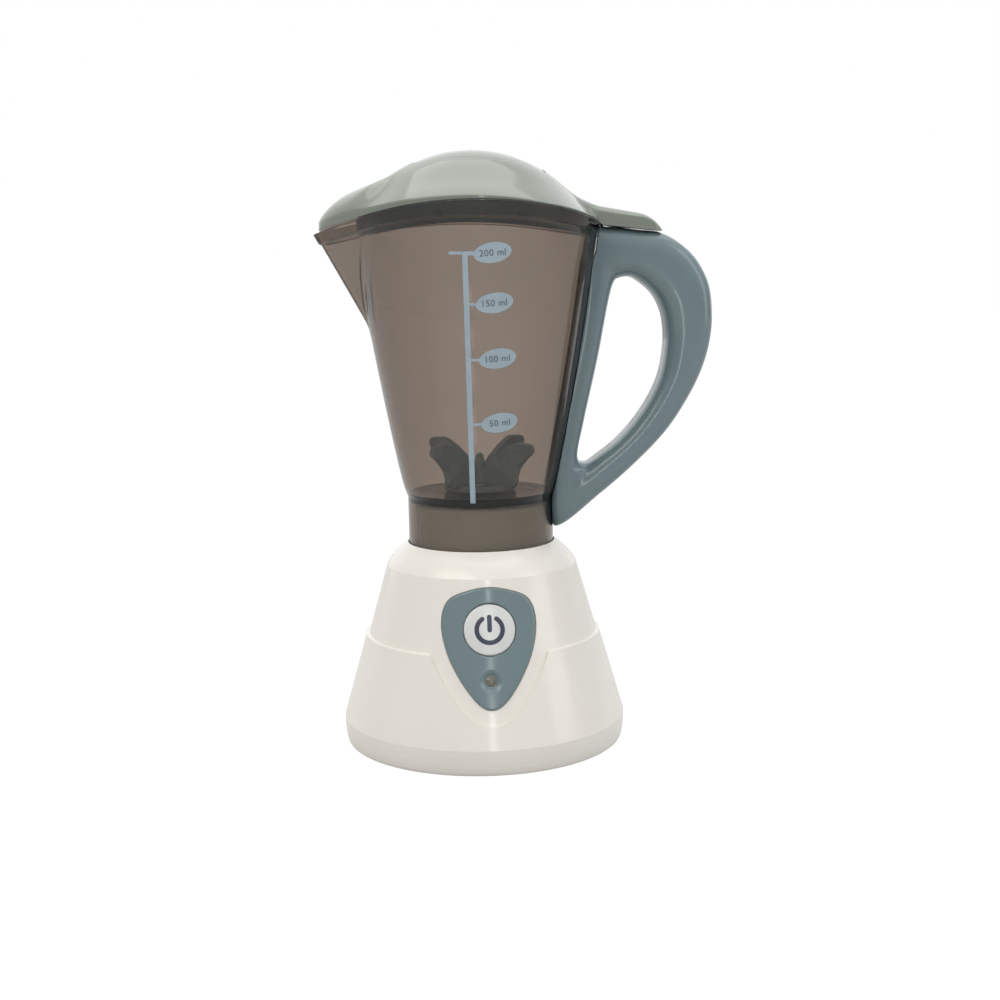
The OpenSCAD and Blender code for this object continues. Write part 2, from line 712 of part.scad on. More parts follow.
// The pouring lip seen from above: a rounded nose and two straight flanks at 45 degrees.
function lip_outline(d) =
    let (r = lip_nose_r + d, k = cos(lip_lean), c = [lip_nose_r, 0], f = 34)
    concat([[(c[0] - r * sin(45) + f) * k, -r * sin(45) - f]],
        [for (a = [225 : -15 : 135]) [(c[0] + r * cos(a)) * k, r * sin(a)]],
        [[(c[0] - r * sin(45) + f) * k, r * sin(45) + f]]);
module lip(d) {
    translate([-lip_x, 0, lip_z]) rotate([0, -lip_lean, 0]) translate([0, 0, -lip_root])
        linear_extrude(height = lip_len) polygon(lip_outline(d));
}

module jug_outside(d) {
    rotate_extrude($fn = 180) polygon(concat([[0, collar_z]], [for (p = jug_profile) [p[1] + (p[0] > cone_z + 20 ? d : 0), p[0]]],
        [[0, rim_z + 12]]));
    intersection() {
        lip(d);
        translate([-far, -far, lip_z - 8]) cube([far, 2 * far, 70]);
    }
}

module jug_inside() {
    inside = concat([[floor_top_z, jug_r(floor_top_z) - jug_wall - 1.2], [floor_top_z + 1.2, jug_r(floor_top_z + 1.2) - jug_wall]],
        [for (p = jug_profile) if (p[0] > floor_top_z + 1.5) [p[0], p[1] - jug_wall]]);
    rotate_extrude($fn = 180) polygon(concat([[0, floor_top_z]], [for (p = inside) [p[1], p[0]]], [[0, rim_z + 12]]));
    intersection() {
        lip(-jug_wall);
        translate([-far, -far, lip_z - 4]) cube([far, 2 * far, 70]);
    }
}

rib_z = [rim_z - 56, rim_z - 11];
module jug_rib() {
    rotate([90, 0, 0]) translate([0, 0, -rib_t / 2]) linear_extrude(height = rib_t)
        polygon([[jug_r(rib_z[0]) - 1, rib_z[0]], [jug_r(rib_z[0]) + rib_d, rib_z[0] + 3],
            [jug_r(rib_z[1]) + rib_d, rib_z[1] - 3], [jug_r(rib_z[1]) - 1, rib_z[1]]]);
}

module jug_body() {
    color(smoke, 0.6) difference() {
        union() {
            intersection() {
                union() {
                    jug_outside(0);
                    difference() {
                        jug_outside(band_step);
                        below_arch(-band_h);
                    }
                }
                below_arch(0);
            }
            jug_rib();
        }
        jug_inside();
        translate([0, 0, collar_z - 1]) cylinder(h = floor_z - collar_z + 1, r = seat_r + 0.6);
        translate([0, 0, floor_z - 1]) cylinder(h = floor_t + 2, r = bush_r);
    }
}

module blade_bush() {
    color("#c9c5ba") difference() {
        union() {
            translate([0, 0, floor_z - bush_flange_t]) cylinder(h = bush_flange_t, r = bush_flange_r);
            translate([0, 0, floor_z - touch]) cylinder(h = floor_t + touch, r = bush_r);
        }
        translate([0, 0, floor_z - 2]) cylinder(h = floor_t + 4, r = spindle_r + running_gap);
    }
}

module blade_seal() {
    color(dark) ring(spindle_r + 0.5, bush_r + 1.5, floor_top_z, floor_top_z + seal_h);
}

// ---- Handle: two shells that meet on the middle plane ----

// Stations round the loop, as an outer point and a point on the finger hole, both counted from
// the jug's rim beside the handle: x outwards from it and z up from it.
handle_stations = [
    [[-4, -1.2], [5.7, -20.3]], [[3.5, -0.1], [8, -18.4]], [[14.8, -1.2], [12.4, -18.1]],
    [[24, -3.6], [16.6, -20.6]], [[33, -10], [20.8, -24.6]], [[39, -20], [23.6, -29.8]],
    [[40.9, -31.2], [24.9, -35.2]], [[40.3, -42.2], [25.2, -42.8]], [[37, -53], [23.4, -53.8]],
    [[31.4, -64], [19.4, -63]], [[23.7, -75], [13.6, -71.6]], [[12.9, -86.1], [7.2, -78.6]],
    [[-1, -98], [0, -84.2]], [[-17.5, -110.5], [-5, -87.2]], [[-17, -97], [-8.4, -84.4]],
    [[-13, -70], [-5.7, -70.7]], [[-8, -47], [-0.3, -47.2]], [[-5.4, -28], [3.4, -28.4]]];
handle_at = [rim_r, rim_z];
handle_arc = 18;
handle_steps = 3;

function handle_half_pts(inner, side) =
    let (w = inner ? handle_wall : 0, half_t = handle_t / 2 - w, rib_half = rib_t / 2 + 0.15,
        outer = smooth_loop([for (s = handle_stations) s[0]], handle_steps),
        hole = smooth_loop([for (s = handle_stations) s[1]], handle_steps))
    [for (i = [0 : len(outer) - 1])
        let (mid = (outer[i] + hole[i]) / 2, across = (outer[i] - hole[i]) / 2, n = across / norm(across),
            half_w = norm(across) - w)
        [for (a = [0 : handle_arc : 180])
            let (c = cos(a), k = 2 / handle_square,
                p = handle_at + mid + n * half_w * sign(c) * pow(abs(c), k),
                y = half_t * pow(max(sin(a), 0), k),
                skin = handle_skin(p[1], y) + w,
                inside = p[0] < skin)
            [max(p[0], skin), side * (inside ? max(y, rib_half) : y), p[1]]]];
// The jug's surface, seen by the handle: its cone, or the band round its rim.
function handle_skin(z, y) =
    let (under_band = arch_z(rim_r) - band_h - z, r = jug_r(z) + handle_gap + band_step * ease((10 - under_band) / 5))
    sqrt(max(r * r - y * y, 0));

module handle_half(side) {
    out = handle_half_pts(false, side);
    in = handle_half_pts(true, side);
    n = len(out);
    m = len(out[0]);
    rows = [for (i = [0 : n - 1]) concat(out[i], [for (k = [m - 1 : -1 : 0]) in[i][k]])];
    torus(rows, side > 0);
}

// A closed ring of closed sections.
module torus(rows, flip) {
    n = len(rows);
    m = len(rows[0]);
    polyhedron([for (row = rows) each row],
        [for (i = [0 : n - 1], k = [0 : m - 1])
            let (j = (i + 1) % n, l = (k + 1) % m, a = i * m + k, b = i * m + l, c = j * m + l, d = j * m + k)
            each (flip ? [[a, b, c], [a, c, d]] : [[a, c, b], [a, d, c]])]);
}

// Screw places on the handle, from the jug's rim.
handle_screw_xz = [[13, -9.5], [31.5, -48], [0, -91]];
handle_post_r = 3;
module at_handle_screws() {
    for (p = handle_screw_xz) translate([handle_at[0] + p[0], 0, handle_at[1] + p[1]]) rotate([90, 0, 0]) children();
}

module handle_front() {
    color(grey_blue) difference() {
        union() {
            handle_half(-1);
            at_handle_screws() cylinder(h = handle_t / 2 - handle_wall / 2, r = handle_post_r, $fn = 32);
        }
        at_handle_screws() translate([0, 0, -1]) cylinder(h = 7, r = screw_r);
    }
}

module handle_back() {
    head_t = 2;
    color(grey_blue) difference() {
        union() {
            handle_half(1);
            at_handle_screws() mirror([0, 0, 1]) cylinder(h = handle_t / 2 - handle_wall / 2, r = handle_post_r + 0.6, $fn = 32);
        }
        at_handle_screws() translate([0, 0, -far / 2]) cylinder(h = far, r = screw_r + 0.2);
        at_handle_screws() translate([0, 0, -far - handle_t / 2 + head_t + 1]) cylinder(h = far, r = screw_head_r + 0.3);
    }
}

module handle_screws() {
    head_z = handle_t / 2 - 3;
    color(steel) at_handle_screws() translate([0, 0, -head_z]) screw(head_z + 5.5, 1.6);
}

// ---- Impeller ----

// A fin seen from the side, as radius and height: it leaves the hub, stands up and hooks outwards.
fin_profile = [[hub_r + 0.1, 0.06], [hub_r + 2.8, 0.11], [hub_r + 4.2, 0.18], [0.706 * fin_r, 0.31],
    [0.753 * fin_r, 0.48], [0.87 * fin_r, 0.66], [0.985 * fin_r, 0.79], [fin_r, 0.87], [0.975 * fin_r, 0.95],
    [0.88 * fin_r, 0.99], [0.74 * fin_r, 1], [0.63 * fin_r, 0.95], [0.475 * fin_r, 0.84], [0.235 * fin_r, 0.61],
    [3, 0.42], [1.5, 0.32]];

module impeller() {
    color("#66727a") translate([0, 0, hub_z]) difference() {
        union() {
            rotate_extrude() polygon([[0, 0], [hub_r - 0.4, 0], [hub_r, 0.4], [hub_r, hub_t - 0.5], [hub_r - 0.5, hub_t],
                [3.8, hub_t + 0.2], [2.6, 0.6 * finial_h], [1.3, finial_h - 0.7], [0.7, finial_h - 0.1], [0, finial_h]]);
            for (i = [0 : fin_count - 1]) rotate(45 + i * 360 / fin_count) rotate([90, 0, 0])
                linear_extrude(height = fin_t, center = true)
                    polygon(concat([[1.5, 0.6], [hub_r - 1, 0.6]], [for (p = fin_profile) [p[0], p[1] * fin_h]]));
        }
        translate([0, 0, -1]) cylinder(h = 6, r = spindle_r);
    }
}

module blade_spindle() {
    color(steel) translate([0, 0, socket_top_z]) cylinder(h = hub_z + 4.5 - socket_top_z, r = spindle_r);
}

module blade_dog() {
    color(dark) difference() {
        translate([0, 0, blade_dog_z]) cylinder(h = blade_dog_top_z - blade_dog_z, r = blade_dog_r);
        translate([0, 0, blade_dog_z - 1]) linear_extrude(height = socket_top_z - blade_dog_z + 1)
            star(star_r + star_gap, star_valley_r + star_gap);
        translate([0, 0, socket_top_z - 1]) cylinder(h = 6, r = spindle_r);
    }
}

// ---- Lid ----

lid_fade_r = cap_r + 2.5;
function smax(a, b, k) = (a + b + sqrt((a - b) * (a - b) + k * k)) / 2;
function ease(t) = let (s = min(max(t, 0), 1)) s * s * (3 - 2 * s);
tab_corner = atan(tab_half_w / tab_reach);
tab_step_r = rim_r + band_step + 0.9;
tab_root = asin(tab_half_w / (tab_step_r + 0.2));
tab_drop_x = tab_reach - 9;

// The lid's edge seen from above: a circle, a rounded beak over the lip and a square tab.
function beak_edge(a) =
    let (s = sin(180 - a), c = cos(180 - a), nose = 0.1)
    c > 0.74 ? beak_reach * (1 + nose) / (sqrt(s * s + nose * nose) + c) : 0;
tab_square = 9;
function tab_edge(a) = let (b = a > 180 ? 360 - a : a)
    b > tab_root ? 0
        : pow(pow(cos(b) / tab_reach, tab_square) + pow(sin(b) / tab_half_w, tab_square), -1 / tab_square);
function lid_edge(a) = max(smax(lid_r, beak_edge(a), 0.6) - 0.1, tab_edge(a));

// Height of the lid's top at radius r and angle a: dome, beak and tab, each blended into the next.
function dome_top(x, r) =
    let (f = ease((r - lid_fade_r) / (lid_r - lid_fade_r)))
    (1 - f) * arch_top + f * arch_z(x) + dome_h * (1 - pow(r / (lid_r + 1.3), 2));
function beak_top(x, y, r, a) =
    let (q = min(1, max(0, (r * beak_reach / lid_edge(a) - 0.69 * beak_reach) / (0.325 * beak_reach))),
        side = ease((cos(180 - a) - 0.72) / 0.24))
    arch_z(x) + side * beak_h * sqrt(max(0, 1 - q * q)) - (1 - side) * 6;
function tab_top(x) =
    let (t = max(0, (x - tab_drop_x) / (tab_reach - tab_drop_x)))
    arch_z(lid_r) + tab_h + 0.25 - 0.1 * (x - lid_r) - 7.6 * (1 - sqrt(max(0, 1 - t * t)));
function lid_top(r, a) =
    let (x = r * cos(a), y = r * sin(a), base = dome_top(x, r),
        beaked = cos(a) < -0.6 ? smax(base, beak_top(x, y, r, a), 1.2) : base)
    x > 30 && abs(y) <= tab_half_w + 0.01 ? (r > lid_r + 1 ? tab_top(x) : smax(base, tab_top(x), 1)) : beaked;

function tab_under(x) = rim_z + 0.7 - 0.11 * (x - rim_r - 2.8);
function lid_under(x, r) = r > tab_step_r && x > 0 ? tab_under(x) : arch_z(x) + lid_gap;

skirt_out_r = function (x) jug_r(arch_z(x) - lid_skirt_h) - jug_wall - 0.35;
function lid_section(a) =
    let (e = lid_edge(a), d = [cos(a), sin(a)],
        tops = [for (t = [0 : 0.1 : 1]) cap_r + (e - cap_r) * sin(90 * t)],
        rs = skirt_out_r(lid_r * cos(a)), ri = rs - lid_skirt_t,
        lip_r = e - 0.3,
        step_out = min(tab_step_r + 0.1, lip_r - 0.2 * (lip_r - rs)),
        step_in = min(tab_step_r, step_out - 0.1),
        unders = [lip_r, (lip_r + step_out) / 2, step_out, step_in, rs],
        inner = [for (t = [0.2, 0.45, 0.7, 1]) ri + (cap_r - ri) * t],
        zs = arch_z(rs * cos(a)) - lid_skirt_h)
    concat(
        [for (r = tops) [r * d[0], r * d[1], max(lid_top(r, a), lid_under(r * d[0], r) + 0.7)]],
        [for (r = unders) [r * d[0], r * d[1], lid_under(r * d[0], r)]],
        [[rs * d[0], rs * d[1], zs], [ri * d[0], ri * d[1], zs],
            [ri * d[0], ri * d[1], min(lid_top(ri, a) - lid_wall - 0.6, arch_z(ri * d[0]) + 1)]],
        [for (r = inner) [r * d[0], r * d[1], lid_top(r, a) - lid_wall]]);

lid_half_angles = concat([for (k = [0, 0.5, 0.75, 0.88, 1]) k * tab_corner],
    [for (k = [1 : 4]) tab_corner + (tab_root - tab_corner) * k / 4], [tab_root + 0.4],
    [for (a = [18 : 6 : 180]) a]);
module lid_shell() {
    n = len(lid_half_angles);
    angles = concat(lid_half_angles, [for (i = [n - 2 : -1 : 1]) 360 - lid_half_angles[i]]);
    color(grey_blue) torus([for (a = angles) lid_section(a)], true);
}

module lid_cap() {
    r = cap_r - cap_seam;
    flange_r = cap_r + 2;
    under = lid_wall + 0.2;
    color(grey_blue) rotate_extrude() polygon(concat(
        [for (t = [0 : 0.1 : 1]) [r * t, dome_top(0, r * t)]],
        [[r, dome_top(0, r) - under], [flange_r, dome_top(0, flange_r) - under]],
        [for (t = [1 : -0.2 : 0]) [flange_r * t, dome_top(0, flange_r * t) - under - 1.2]]));
}

base_housing();
bottom_cover();
jug_seat();
control_panel();
indicator_led();
circuit_board();
switch_body();
motor_can();
motor_end_cap();
motor_clamp();
batteries();
battery_contacts();
housing_screws();
seat_screws();
clamp_screws();
board_screws();
wires_red();
wires_black();
battery_door();
door_screw();
power_button();
switch_plunger();
motor_shaft();
drive_dog();
jug_body();
handle_front();
handle_back();
handle_screws();
blade_bush();
blade_seal();
impeller();
blade_spindle();
blade_dog();
lid_shell();
lid_cap();
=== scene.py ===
"""Toy blender, dressed for the render: a white cone-shaped base with a start button, a smoky
lift-off jug with a looped handle and a pouring lip, a turning impeller and a domed lid."""

import bmesh
import bpy
import numpy as np
from mathutils import Matrix, Vector


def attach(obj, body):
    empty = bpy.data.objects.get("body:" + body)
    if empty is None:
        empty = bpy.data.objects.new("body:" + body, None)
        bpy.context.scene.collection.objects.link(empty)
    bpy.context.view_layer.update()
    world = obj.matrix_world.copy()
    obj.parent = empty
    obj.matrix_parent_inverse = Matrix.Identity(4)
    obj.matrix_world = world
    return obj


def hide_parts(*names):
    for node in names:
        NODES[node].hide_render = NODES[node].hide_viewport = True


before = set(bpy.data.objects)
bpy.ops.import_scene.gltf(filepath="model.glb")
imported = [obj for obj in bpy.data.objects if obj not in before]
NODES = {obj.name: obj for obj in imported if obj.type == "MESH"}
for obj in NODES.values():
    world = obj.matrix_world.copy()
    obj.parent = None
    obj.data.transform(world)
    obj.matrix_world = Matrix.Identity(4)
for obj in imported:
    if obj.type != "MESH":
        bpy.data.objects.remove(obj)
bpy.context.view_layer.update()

bl_info = {
    "name": "Toy Blender",
    "version": (1, 0, 0),
    "blender": (4, 5, 0),
    "location": "3D View > Sidebar > Toy Blender",
    "description": "Dresses the packed toy blender with its fine mouldings, prints and finishes",
    "category": "Add Mesh",
}

MM = 0.001

# ---- Sizes in millimetres ----
# They are the CAD part's, but for those with a comment: these were fitted to the photo on their own.

FOOT_R = 53.7
FOOT_Z = 9.5
CONE_SLOPE = 0.2875
SKIRT_STEP = 1.0
BUTTON_Z = 50.3
BUTTON_R = 9.2
BUTTON_GAP = 0.3
PANEL_HALF_W = 17.0
PANEL_TOP = 15.2
PANEL_BOTTOM = 28.6
PANEL_PROUD = 0.7
PANEL_POCKET = 0.9
PANEL_SEAM = 0.14  # no seam in the CAD
LED_DROP = 18.3
LED_R = 2.5
DIMPLE_R = 3.95
COLLAR_R = 27.4
COLLAR_Z = 72.0
CONE_Z = 93.4
RIM_R = 45.2
RIM_Z = 192.0
JUG_WALL = 2.0
SEAT_R = 24.7
FLOOR_Z = 92.0
FLOOR_T = 3.0
BUSH_R = 3.5
ARCH_R = 175.0  # CAD 150
ARCH_TOP = 200.6  # CAD 201.7
ARCH_X = -3.0
BAND_H = 4.8  # CAD 8.2
BAND_STEP = 0.8
LIP_Z = 157.0
LIP_LEAN = np.radians(28.8)
LIP_NOSE_R = 4.4
HANDLE_T = 20.0
HANDLE_WALL = 2.0
HANDLE_SQUARE = 3.2
HANDLE_GAP = 0.25
RIB_HALF = 1.35
SCREW_R = 1.3
SCREW_HEAD_R = 2.6
LID_R = 45.2
DOME_H = 20.2  # CAD 19.1
DOME_HOLLOW = 1.5  # no hollow in the CAD
DOME_X = -1.7  # CAD 0
BLEND = 3.5  # CAD 1
LID_WALL = 2.0
LID_EDGE_T = 0.7
LID_GAP = 0.4
BEAK_REACH = 57.6
BEAK_H = 11.0  # CAD 11.8
BEAK_BLEND = 3.6  # CAD 1.2
TAB_REACH = 68.8
TAB_HALF_W = 10.3
TAB_H = 6.1
TAB_LIFT = 0.1  # CAD 0.25
TAB_FALL = 0.18  # CAD 0.1
TAB_END_DROP = 7.0  # CAD 7.6
TAB_ROUND = 6.0  # flat in the CAD
TAB_SIDE_DROP = 2.8
LID_SKIRT_H = 4.0  # CAD 5.5
LID_SKIRT_T = 1.8
CAP_R = 22.0
CAP_SEAM = 0.2

FLOOR_TOP_Z = FLOOR_Z + FLOOR_T
BUTTON_Y = -(FOOT_R - (BUTTON_Z - FOOT_Z) * CONE_SLOPE - SKIRT_STEP)
CONE_ANGLE = np.arctan(CONE_SLOPE)
TAB_STEP_R = RIM_R + BAND_STEP + 0.9
TAB_DROP_X = TAB_REACH - 9

# ---- Formulas that several pieces share ----


def linear(code, alpha=1.0):
    """The linear colour of an sRGB hex code such as "#748689"."""
    srgb = np.array([int(code[i:i + 2], 16) for i in (1, 3, 5)]) / 255
    flat = np.where(srgb <= 0.04045, srgb / 12.92, ((srgb + 0.055) / 1.055) ** 2.4)
    return (*flat, alpha)


def smax(a, b, k):
    """The larger of a and b, with the corner between them rounded over about k."""
    return (a + b + np.sqrt((a - b) ** 2 + k * k)) / 2


def ease(t):
    """0 below 0 and 1 above 1, with a smooth step of 3 s^2 - 2 s^3 between them."""
    s = np.clip(t, 0, 1)
    return s * s * (3 - 2 * s)


def monotone(xs, ys):
    """A smooth curve through the points, as cubics whose slope at each point is the harmonic mean
    of its neighbours' slopes, so that it never overshoots."""
    step = np.diff(xs)
    rise = np.diff(ys) / step
    slope = np.concatenate([[rise[0]], 2 * rise[1:] * rise[:-1] / (rise[1:] + rise[:-1]), [rise[-1]]])

    def curve(x):
        i = np.clip(np.searchsorted(xs, x, side="right") - 1, 0, len(step) - 1)
        t = np.clip((x - xs[i]) / step[i], 0, 1)
        a = (1 + 2 * t) * (1 - t) ** 2 * ys[i] + t * (1 - t) ** 2 * step[i] * slope[i]
        return a + t * t * (3 - 2 * t) * ys[i + 1] + t * t * (t - 1) * step[i] * slope[i + 1]

    return curve


def smooth_loop(points, steps):
    """A closed Catmull-Rom curve through the points, with that many steps from one to the next."""
    b = np.array(points, float)
    a, c, d = np.roll(b, 1, 0), np.roll(b, -1, 0), np.roll(b, -2, 0)
    t = (np.arange(steps) / steps)[None, :, None]
    a, b, c, d = a[:, None], b[:, None], c[:, None], d[:, None]
    curve = 0.5 * (2 * b + (c - a) * t + (2 * a - 5 * b + 4 * c - d) * t**2 + (3 * b - 3 * c + d - a) * t**3)
    return curve.reshape(-1, b.shape[-1])


JUG_CURVE = monotone(
    np.array([CONE_Z, CONE_Z + 3, CONE_Z + 10, CONE_Z + 0.357 * (RIM_Z - CONE_Z),
              CONE_Z + 0.645 * (RIM_Z - CONE_Z), RIM_Z, RIM_Z + 12]),
    np.array([COLLAR_R, COLLAR_R + 1.2, COLLAR_R + 2.9, COLLAR_R + 0.438 * (RIM_R - COLLAR_R),
              COLLAR_R + 0.713 * (RIM_R - COLLAR_R), RIM_R, RIM_R + 1.7]))


def jug_r(z):
    """Outer radius of the jug at a height: a straight collar, then a smooth flare and cone."""
    return np.where(z < CONE_Z, COLLAR_R, JUG_CURVE(z))


def arch_z(x):
    """Height of the rim's arch, a circle of radius ARCH_R seen from the front."""
    return ARCH_TOP - ARCH_R + np.sqrt(ARCH_R**2 - (x - ARCH_X) ** 2)


LIP_X = float(jug_r(np.array(LIP_Z)))


def skirt_r(z):
    return FOOT_R - (z - FOOT_Z) * CONE_SLOPE


def wall_r(z):
    return skirt_r(z) - SKIRT_STEP


def xyz(x, y, z):
    """Points of three coordinates that are broadcast to one shape."""
    return np.stack(np.broadcast_arrays(x, y, z), -1)


def turned(centre, x, y, tilt):
    """Plan points x, y turned by tilt and moved to a centre."""
    c, s = np.cos(tilt), np.sin(tilt)
    return centre[0] + x * c - y * s, centre[1] + x * s + y * c


def front_point(u, v, w):
    """Point u along X, v up the front wall and w out of it, counted from the button's centre."""
    s, c = np.sin(CONE_ANGLE), np.cos(CONE_ANGLE)
    return xyz(u, BUTTON_Y + v * s - w * c, BUTTON_Z + v * c + w * s)


def wall_w(u, v, proud):
    """How far out of the button's plane the wall lies at u, v, where the wall's cone is moved out
    by proud. It is found by stepping towards the cone until the point lies on it."""
    w = np.zeros(np.broadcast(u, v, proud).shape)
    for _ in range(12):
        x, y, z = np.moveaxis(front_point(u, v, w), -1, 0)
        w = w - (np.hypot(x, y) - wall_r(z) - proud) * np.cos(CONE_ANGLE)
    return w


# ---- Meshes ----


def linked(name, data):
    """A new object in the scene."""
    obj = bpy.data.objects.new(name, data)
    bpy.context.scene.collection.objects.link(obj)
    return obj


def new_object(name, mesh, body, material):
    """Adds the mesh as an object that rides on the body and takes its finish from the slot."""
    obj = linked(name, mesh)
    mesh.materials.clear()
    mesh.materials.append(material)
    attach(obj, body)
    return obj


def smooth_shade(mesh, degrees):
    """Smooth shading, with edges sharper than this angle left crisp."""
    mesh.polygons.foreach_set("use_smooth", np.ones(len(mesh.polygons), bool))
    mesh.set_sharp_from_angle(angle=np.radians(degrees))
    mesh.update()


def merged(mesh, distance=0.002 * MM):
    """Merges points that lie on one another, which closes seams and poles."""
    bm = bmesh.new()
    bm.from_mesh(mesh)
    bmesh.ops.remove_doubles(bm, verts=bm.verts, dist=distance)
    bmesh.ops.dissolve_degenerate(bm, edges=bm.edges, dist=distance / 4)
    bm.to_mesh(mesh)
    bm.free()
    return mesh


def enclosed(points, faces):
    """Six times the volume that the quads shut in, which is negative where they face inwards."""
    p = points[faces]
    first = np.einsum("ij,ij->i", p[:, 0], np.cross(p[:, 1], p[:, 2]))
    return (first + np.einsum("ij,ij->i", p[:, 0], np.cross(p[:, 2], p[:, 3]))).sum()


def grid_faces(rows, columns, close=False):
    """The quads of a grid of points that closes on itself along the columns and, where close is
    set, along the rows too."""
    i = np.arange(rows if close else rows - 1)[:, None]
    j = np.arange(columns)[None, :]
    ii, jj = (i + 1) % rows, (j + 1) % columns
    corners = [i * columns + j, ii * columns + j, ii * columns + jj, i * columns + jj]
    return np.stack(np.broadcast_arrays(*corners), -1).reshape(-1, 4)


def ring_mesh(name, grid, degrees=40.0, close=True):
    """A mesh from a grid of points in millimetres, rows by columns, with its faces outwards."""
    points = grid.reshape(-1, 3)
    faces = grid_faces(*grid.shape[:2], close)
    if enclosed(points, faces) < 0:
        faces = faces[:, ::-1]
    mesh = bpy.data.meshes.new(name)
    mesh.from_pydata((points * MM).tolist(), [], faces.tolist())
    merged(mesh)
    smooth_shade(mesh, degrees)
    return mesh


def lathe(profile, turns=128):
    """A profile of (radius, height) points turned about the Z axis."""
    angle = np.linspace(0, 2 * np.pi, turns, endpoint=False)
    r, z = np.array(profile, float).T[:, :, None]
    return xyz(r * np.cos(angle), r * np.sin(angle), z)


def rounded(corner, before, after, radius, steps=4):
    """Points of an arc that rounds a corner between two directions that leave it: the corner
    plus radius times each direction, joined by a quadratic curve."""
    corner, before, after = (np.array(p, float) for p in (corner, before, after))
    t = np.linspace(0, 1, steps + 1)[:, None]
    start, end = corner + radius * before, corner + radius * after
    return (1 - t) ** 2 * start + 2 * t * (1 - t) * corner + t * t * end


# ---- Materials ----


def add(tree, kind, inputs=None, **settings):
    """Adds a shader node with its settings. Of its inputs, a socket is linked and a value is set."""
    made = tree.nodes.new("ShaderNode" + kind)
    for key, value in settings.items():
        setattr(made, key, value)
    for key, value in (inputs or {}).items():
        if isinstance(value, bpy.types.NodeSocket):
            tree.links.new(value, made.inputs[key])
        else:
            made.inputs[key].default_value = value
    return made


def stops(ramp, *colours):
    """Sets the colours of a ramp's stops, from its low end to its high end."""
    for stop, colour in zip(ramp.color_ramp.elements, colours):
        stop.color = colour


def blank(name):
    """An empty node material and its tree."""
    material = bpy.data.materials.new(name)
    material.use_nodes = True
    material.node_tree.nodes.clear()
    return material, material.node_tree


def tone(code, factor):
    """A hex code's linear colour, made lighter or darker by a factor."""
    return tuple(min(1.0, c * factor) for c in linear(code)[:3]) + (1.0,)


def moulded_plastic(name, code, roughness, ior=1.53, peel_mm=2.2, peel=0.05, spread=0.03, flow_mm=26.0):
    """Injection-moulded plastic. Slow waves of sheen and a faint orange peel break up the
    reflections, and the colour drifts a little where the melt has flowed."""
    material, tree = blank(name)
    place = add(tree, "TexCoord").outputs["Object"]
    flow = add(tree, "TexNoise", {"Scale": 1 / (flow_mm * MM), "Detail": 2.0, "Vector": place})
    ramp = add(tree, "ValToRGB", {"Fac": flow.outputs["Fac"]})
    ramp.color_ramp.elements[0].position = 0.3
    ramp.color_ramp.elements[1].position = 0.7
    stops(ramp, tone(code, 1 - spread), tone(code, 1 + spread))
    sheen = add(tree, "TexNoise", {"Scale": 1 / (9 * MM), "Detail": 3.0, "Vector": place})
    rough = add(tree, "MapRange",
                {"From Min": 0.3, "From Max": 0.7, "To Min": roughness * 0.75, "To Max": roughness * 1.3,
                 "Value": sheen.outputs["Fac"]})
    grain = add(tree, "TexNoise", {"Scale": 1 / (peel_mm * MM), "Detail": 1.0, "Vector": place})
    bump = add(tree, "Bump", {"Strength": peel, "Distance": 0.1 * MM, "Height": grain.outputs["Fac"]})
    shader = add(tree, "BsdfPrincipled", {"IOR": ior,
                  "Base Color": ramp.outputs["Color"], "Roughness": rough.outputs["Result"],
                  "Normal": bump.outputs["Normal"]})
    add(tree, "OutputMaterial", {"Surface": shader.outputs["BSDF"]})
    return material


def clear_plastic(name, density, passed, roughness, ior):
    """Clear tinted plastic, moulded smooth. Rays bend through its walls and are dyed by the length of
    plastic that they cross, so edges and rims go dark. Lamps still reach what is behind it, and the
    finest rubbing marks soften its reflections."""
    material, tree = blank(name)
    place = add(tree, "TexCoord").outputs["Object"]
    rub = add(tree, "TexNoise", {"Scale": 1 / (14 * MM), "Detail": 3.0, "Vector": place})
    rough = add(tree, "MapRange",
                {"From Min": 0.3, "From Max": 0.7, "To Min": roughness * 0.5, "To Max": roughness * 1.5,
                 "Value": rub.outputs["Fac"]})
    shader = add(tree, "BsdfPrincipled",
                 {"Base Color": (0.98, 0.98, 0.98, 1.0), "IOR": ior, "Transmission Weight": 1.0,
                  "Roughness": rough.outputs["Result"]})
    lamp = add(tree, "BsdfTransparent", {"Color": (0.94, 0.94, 0.94, 1.0)})
    path = add(tree, "LightPath")
    both = add(tree, "MixShader",
               {0: path.outputs["Is Shadow Ray"], 1: shader.outputs["BSDF"], 2: lamp.outputs["BSDF"]})
    dye = add(tree, "VolumeAbsorption", {"Color": (*passed, 1.0), "Density": density})
    add(tree, "OutputMaterial", {"Surface": both.outputs["Shader"], "Volume": dye.outputs["Volume"]})
    return material


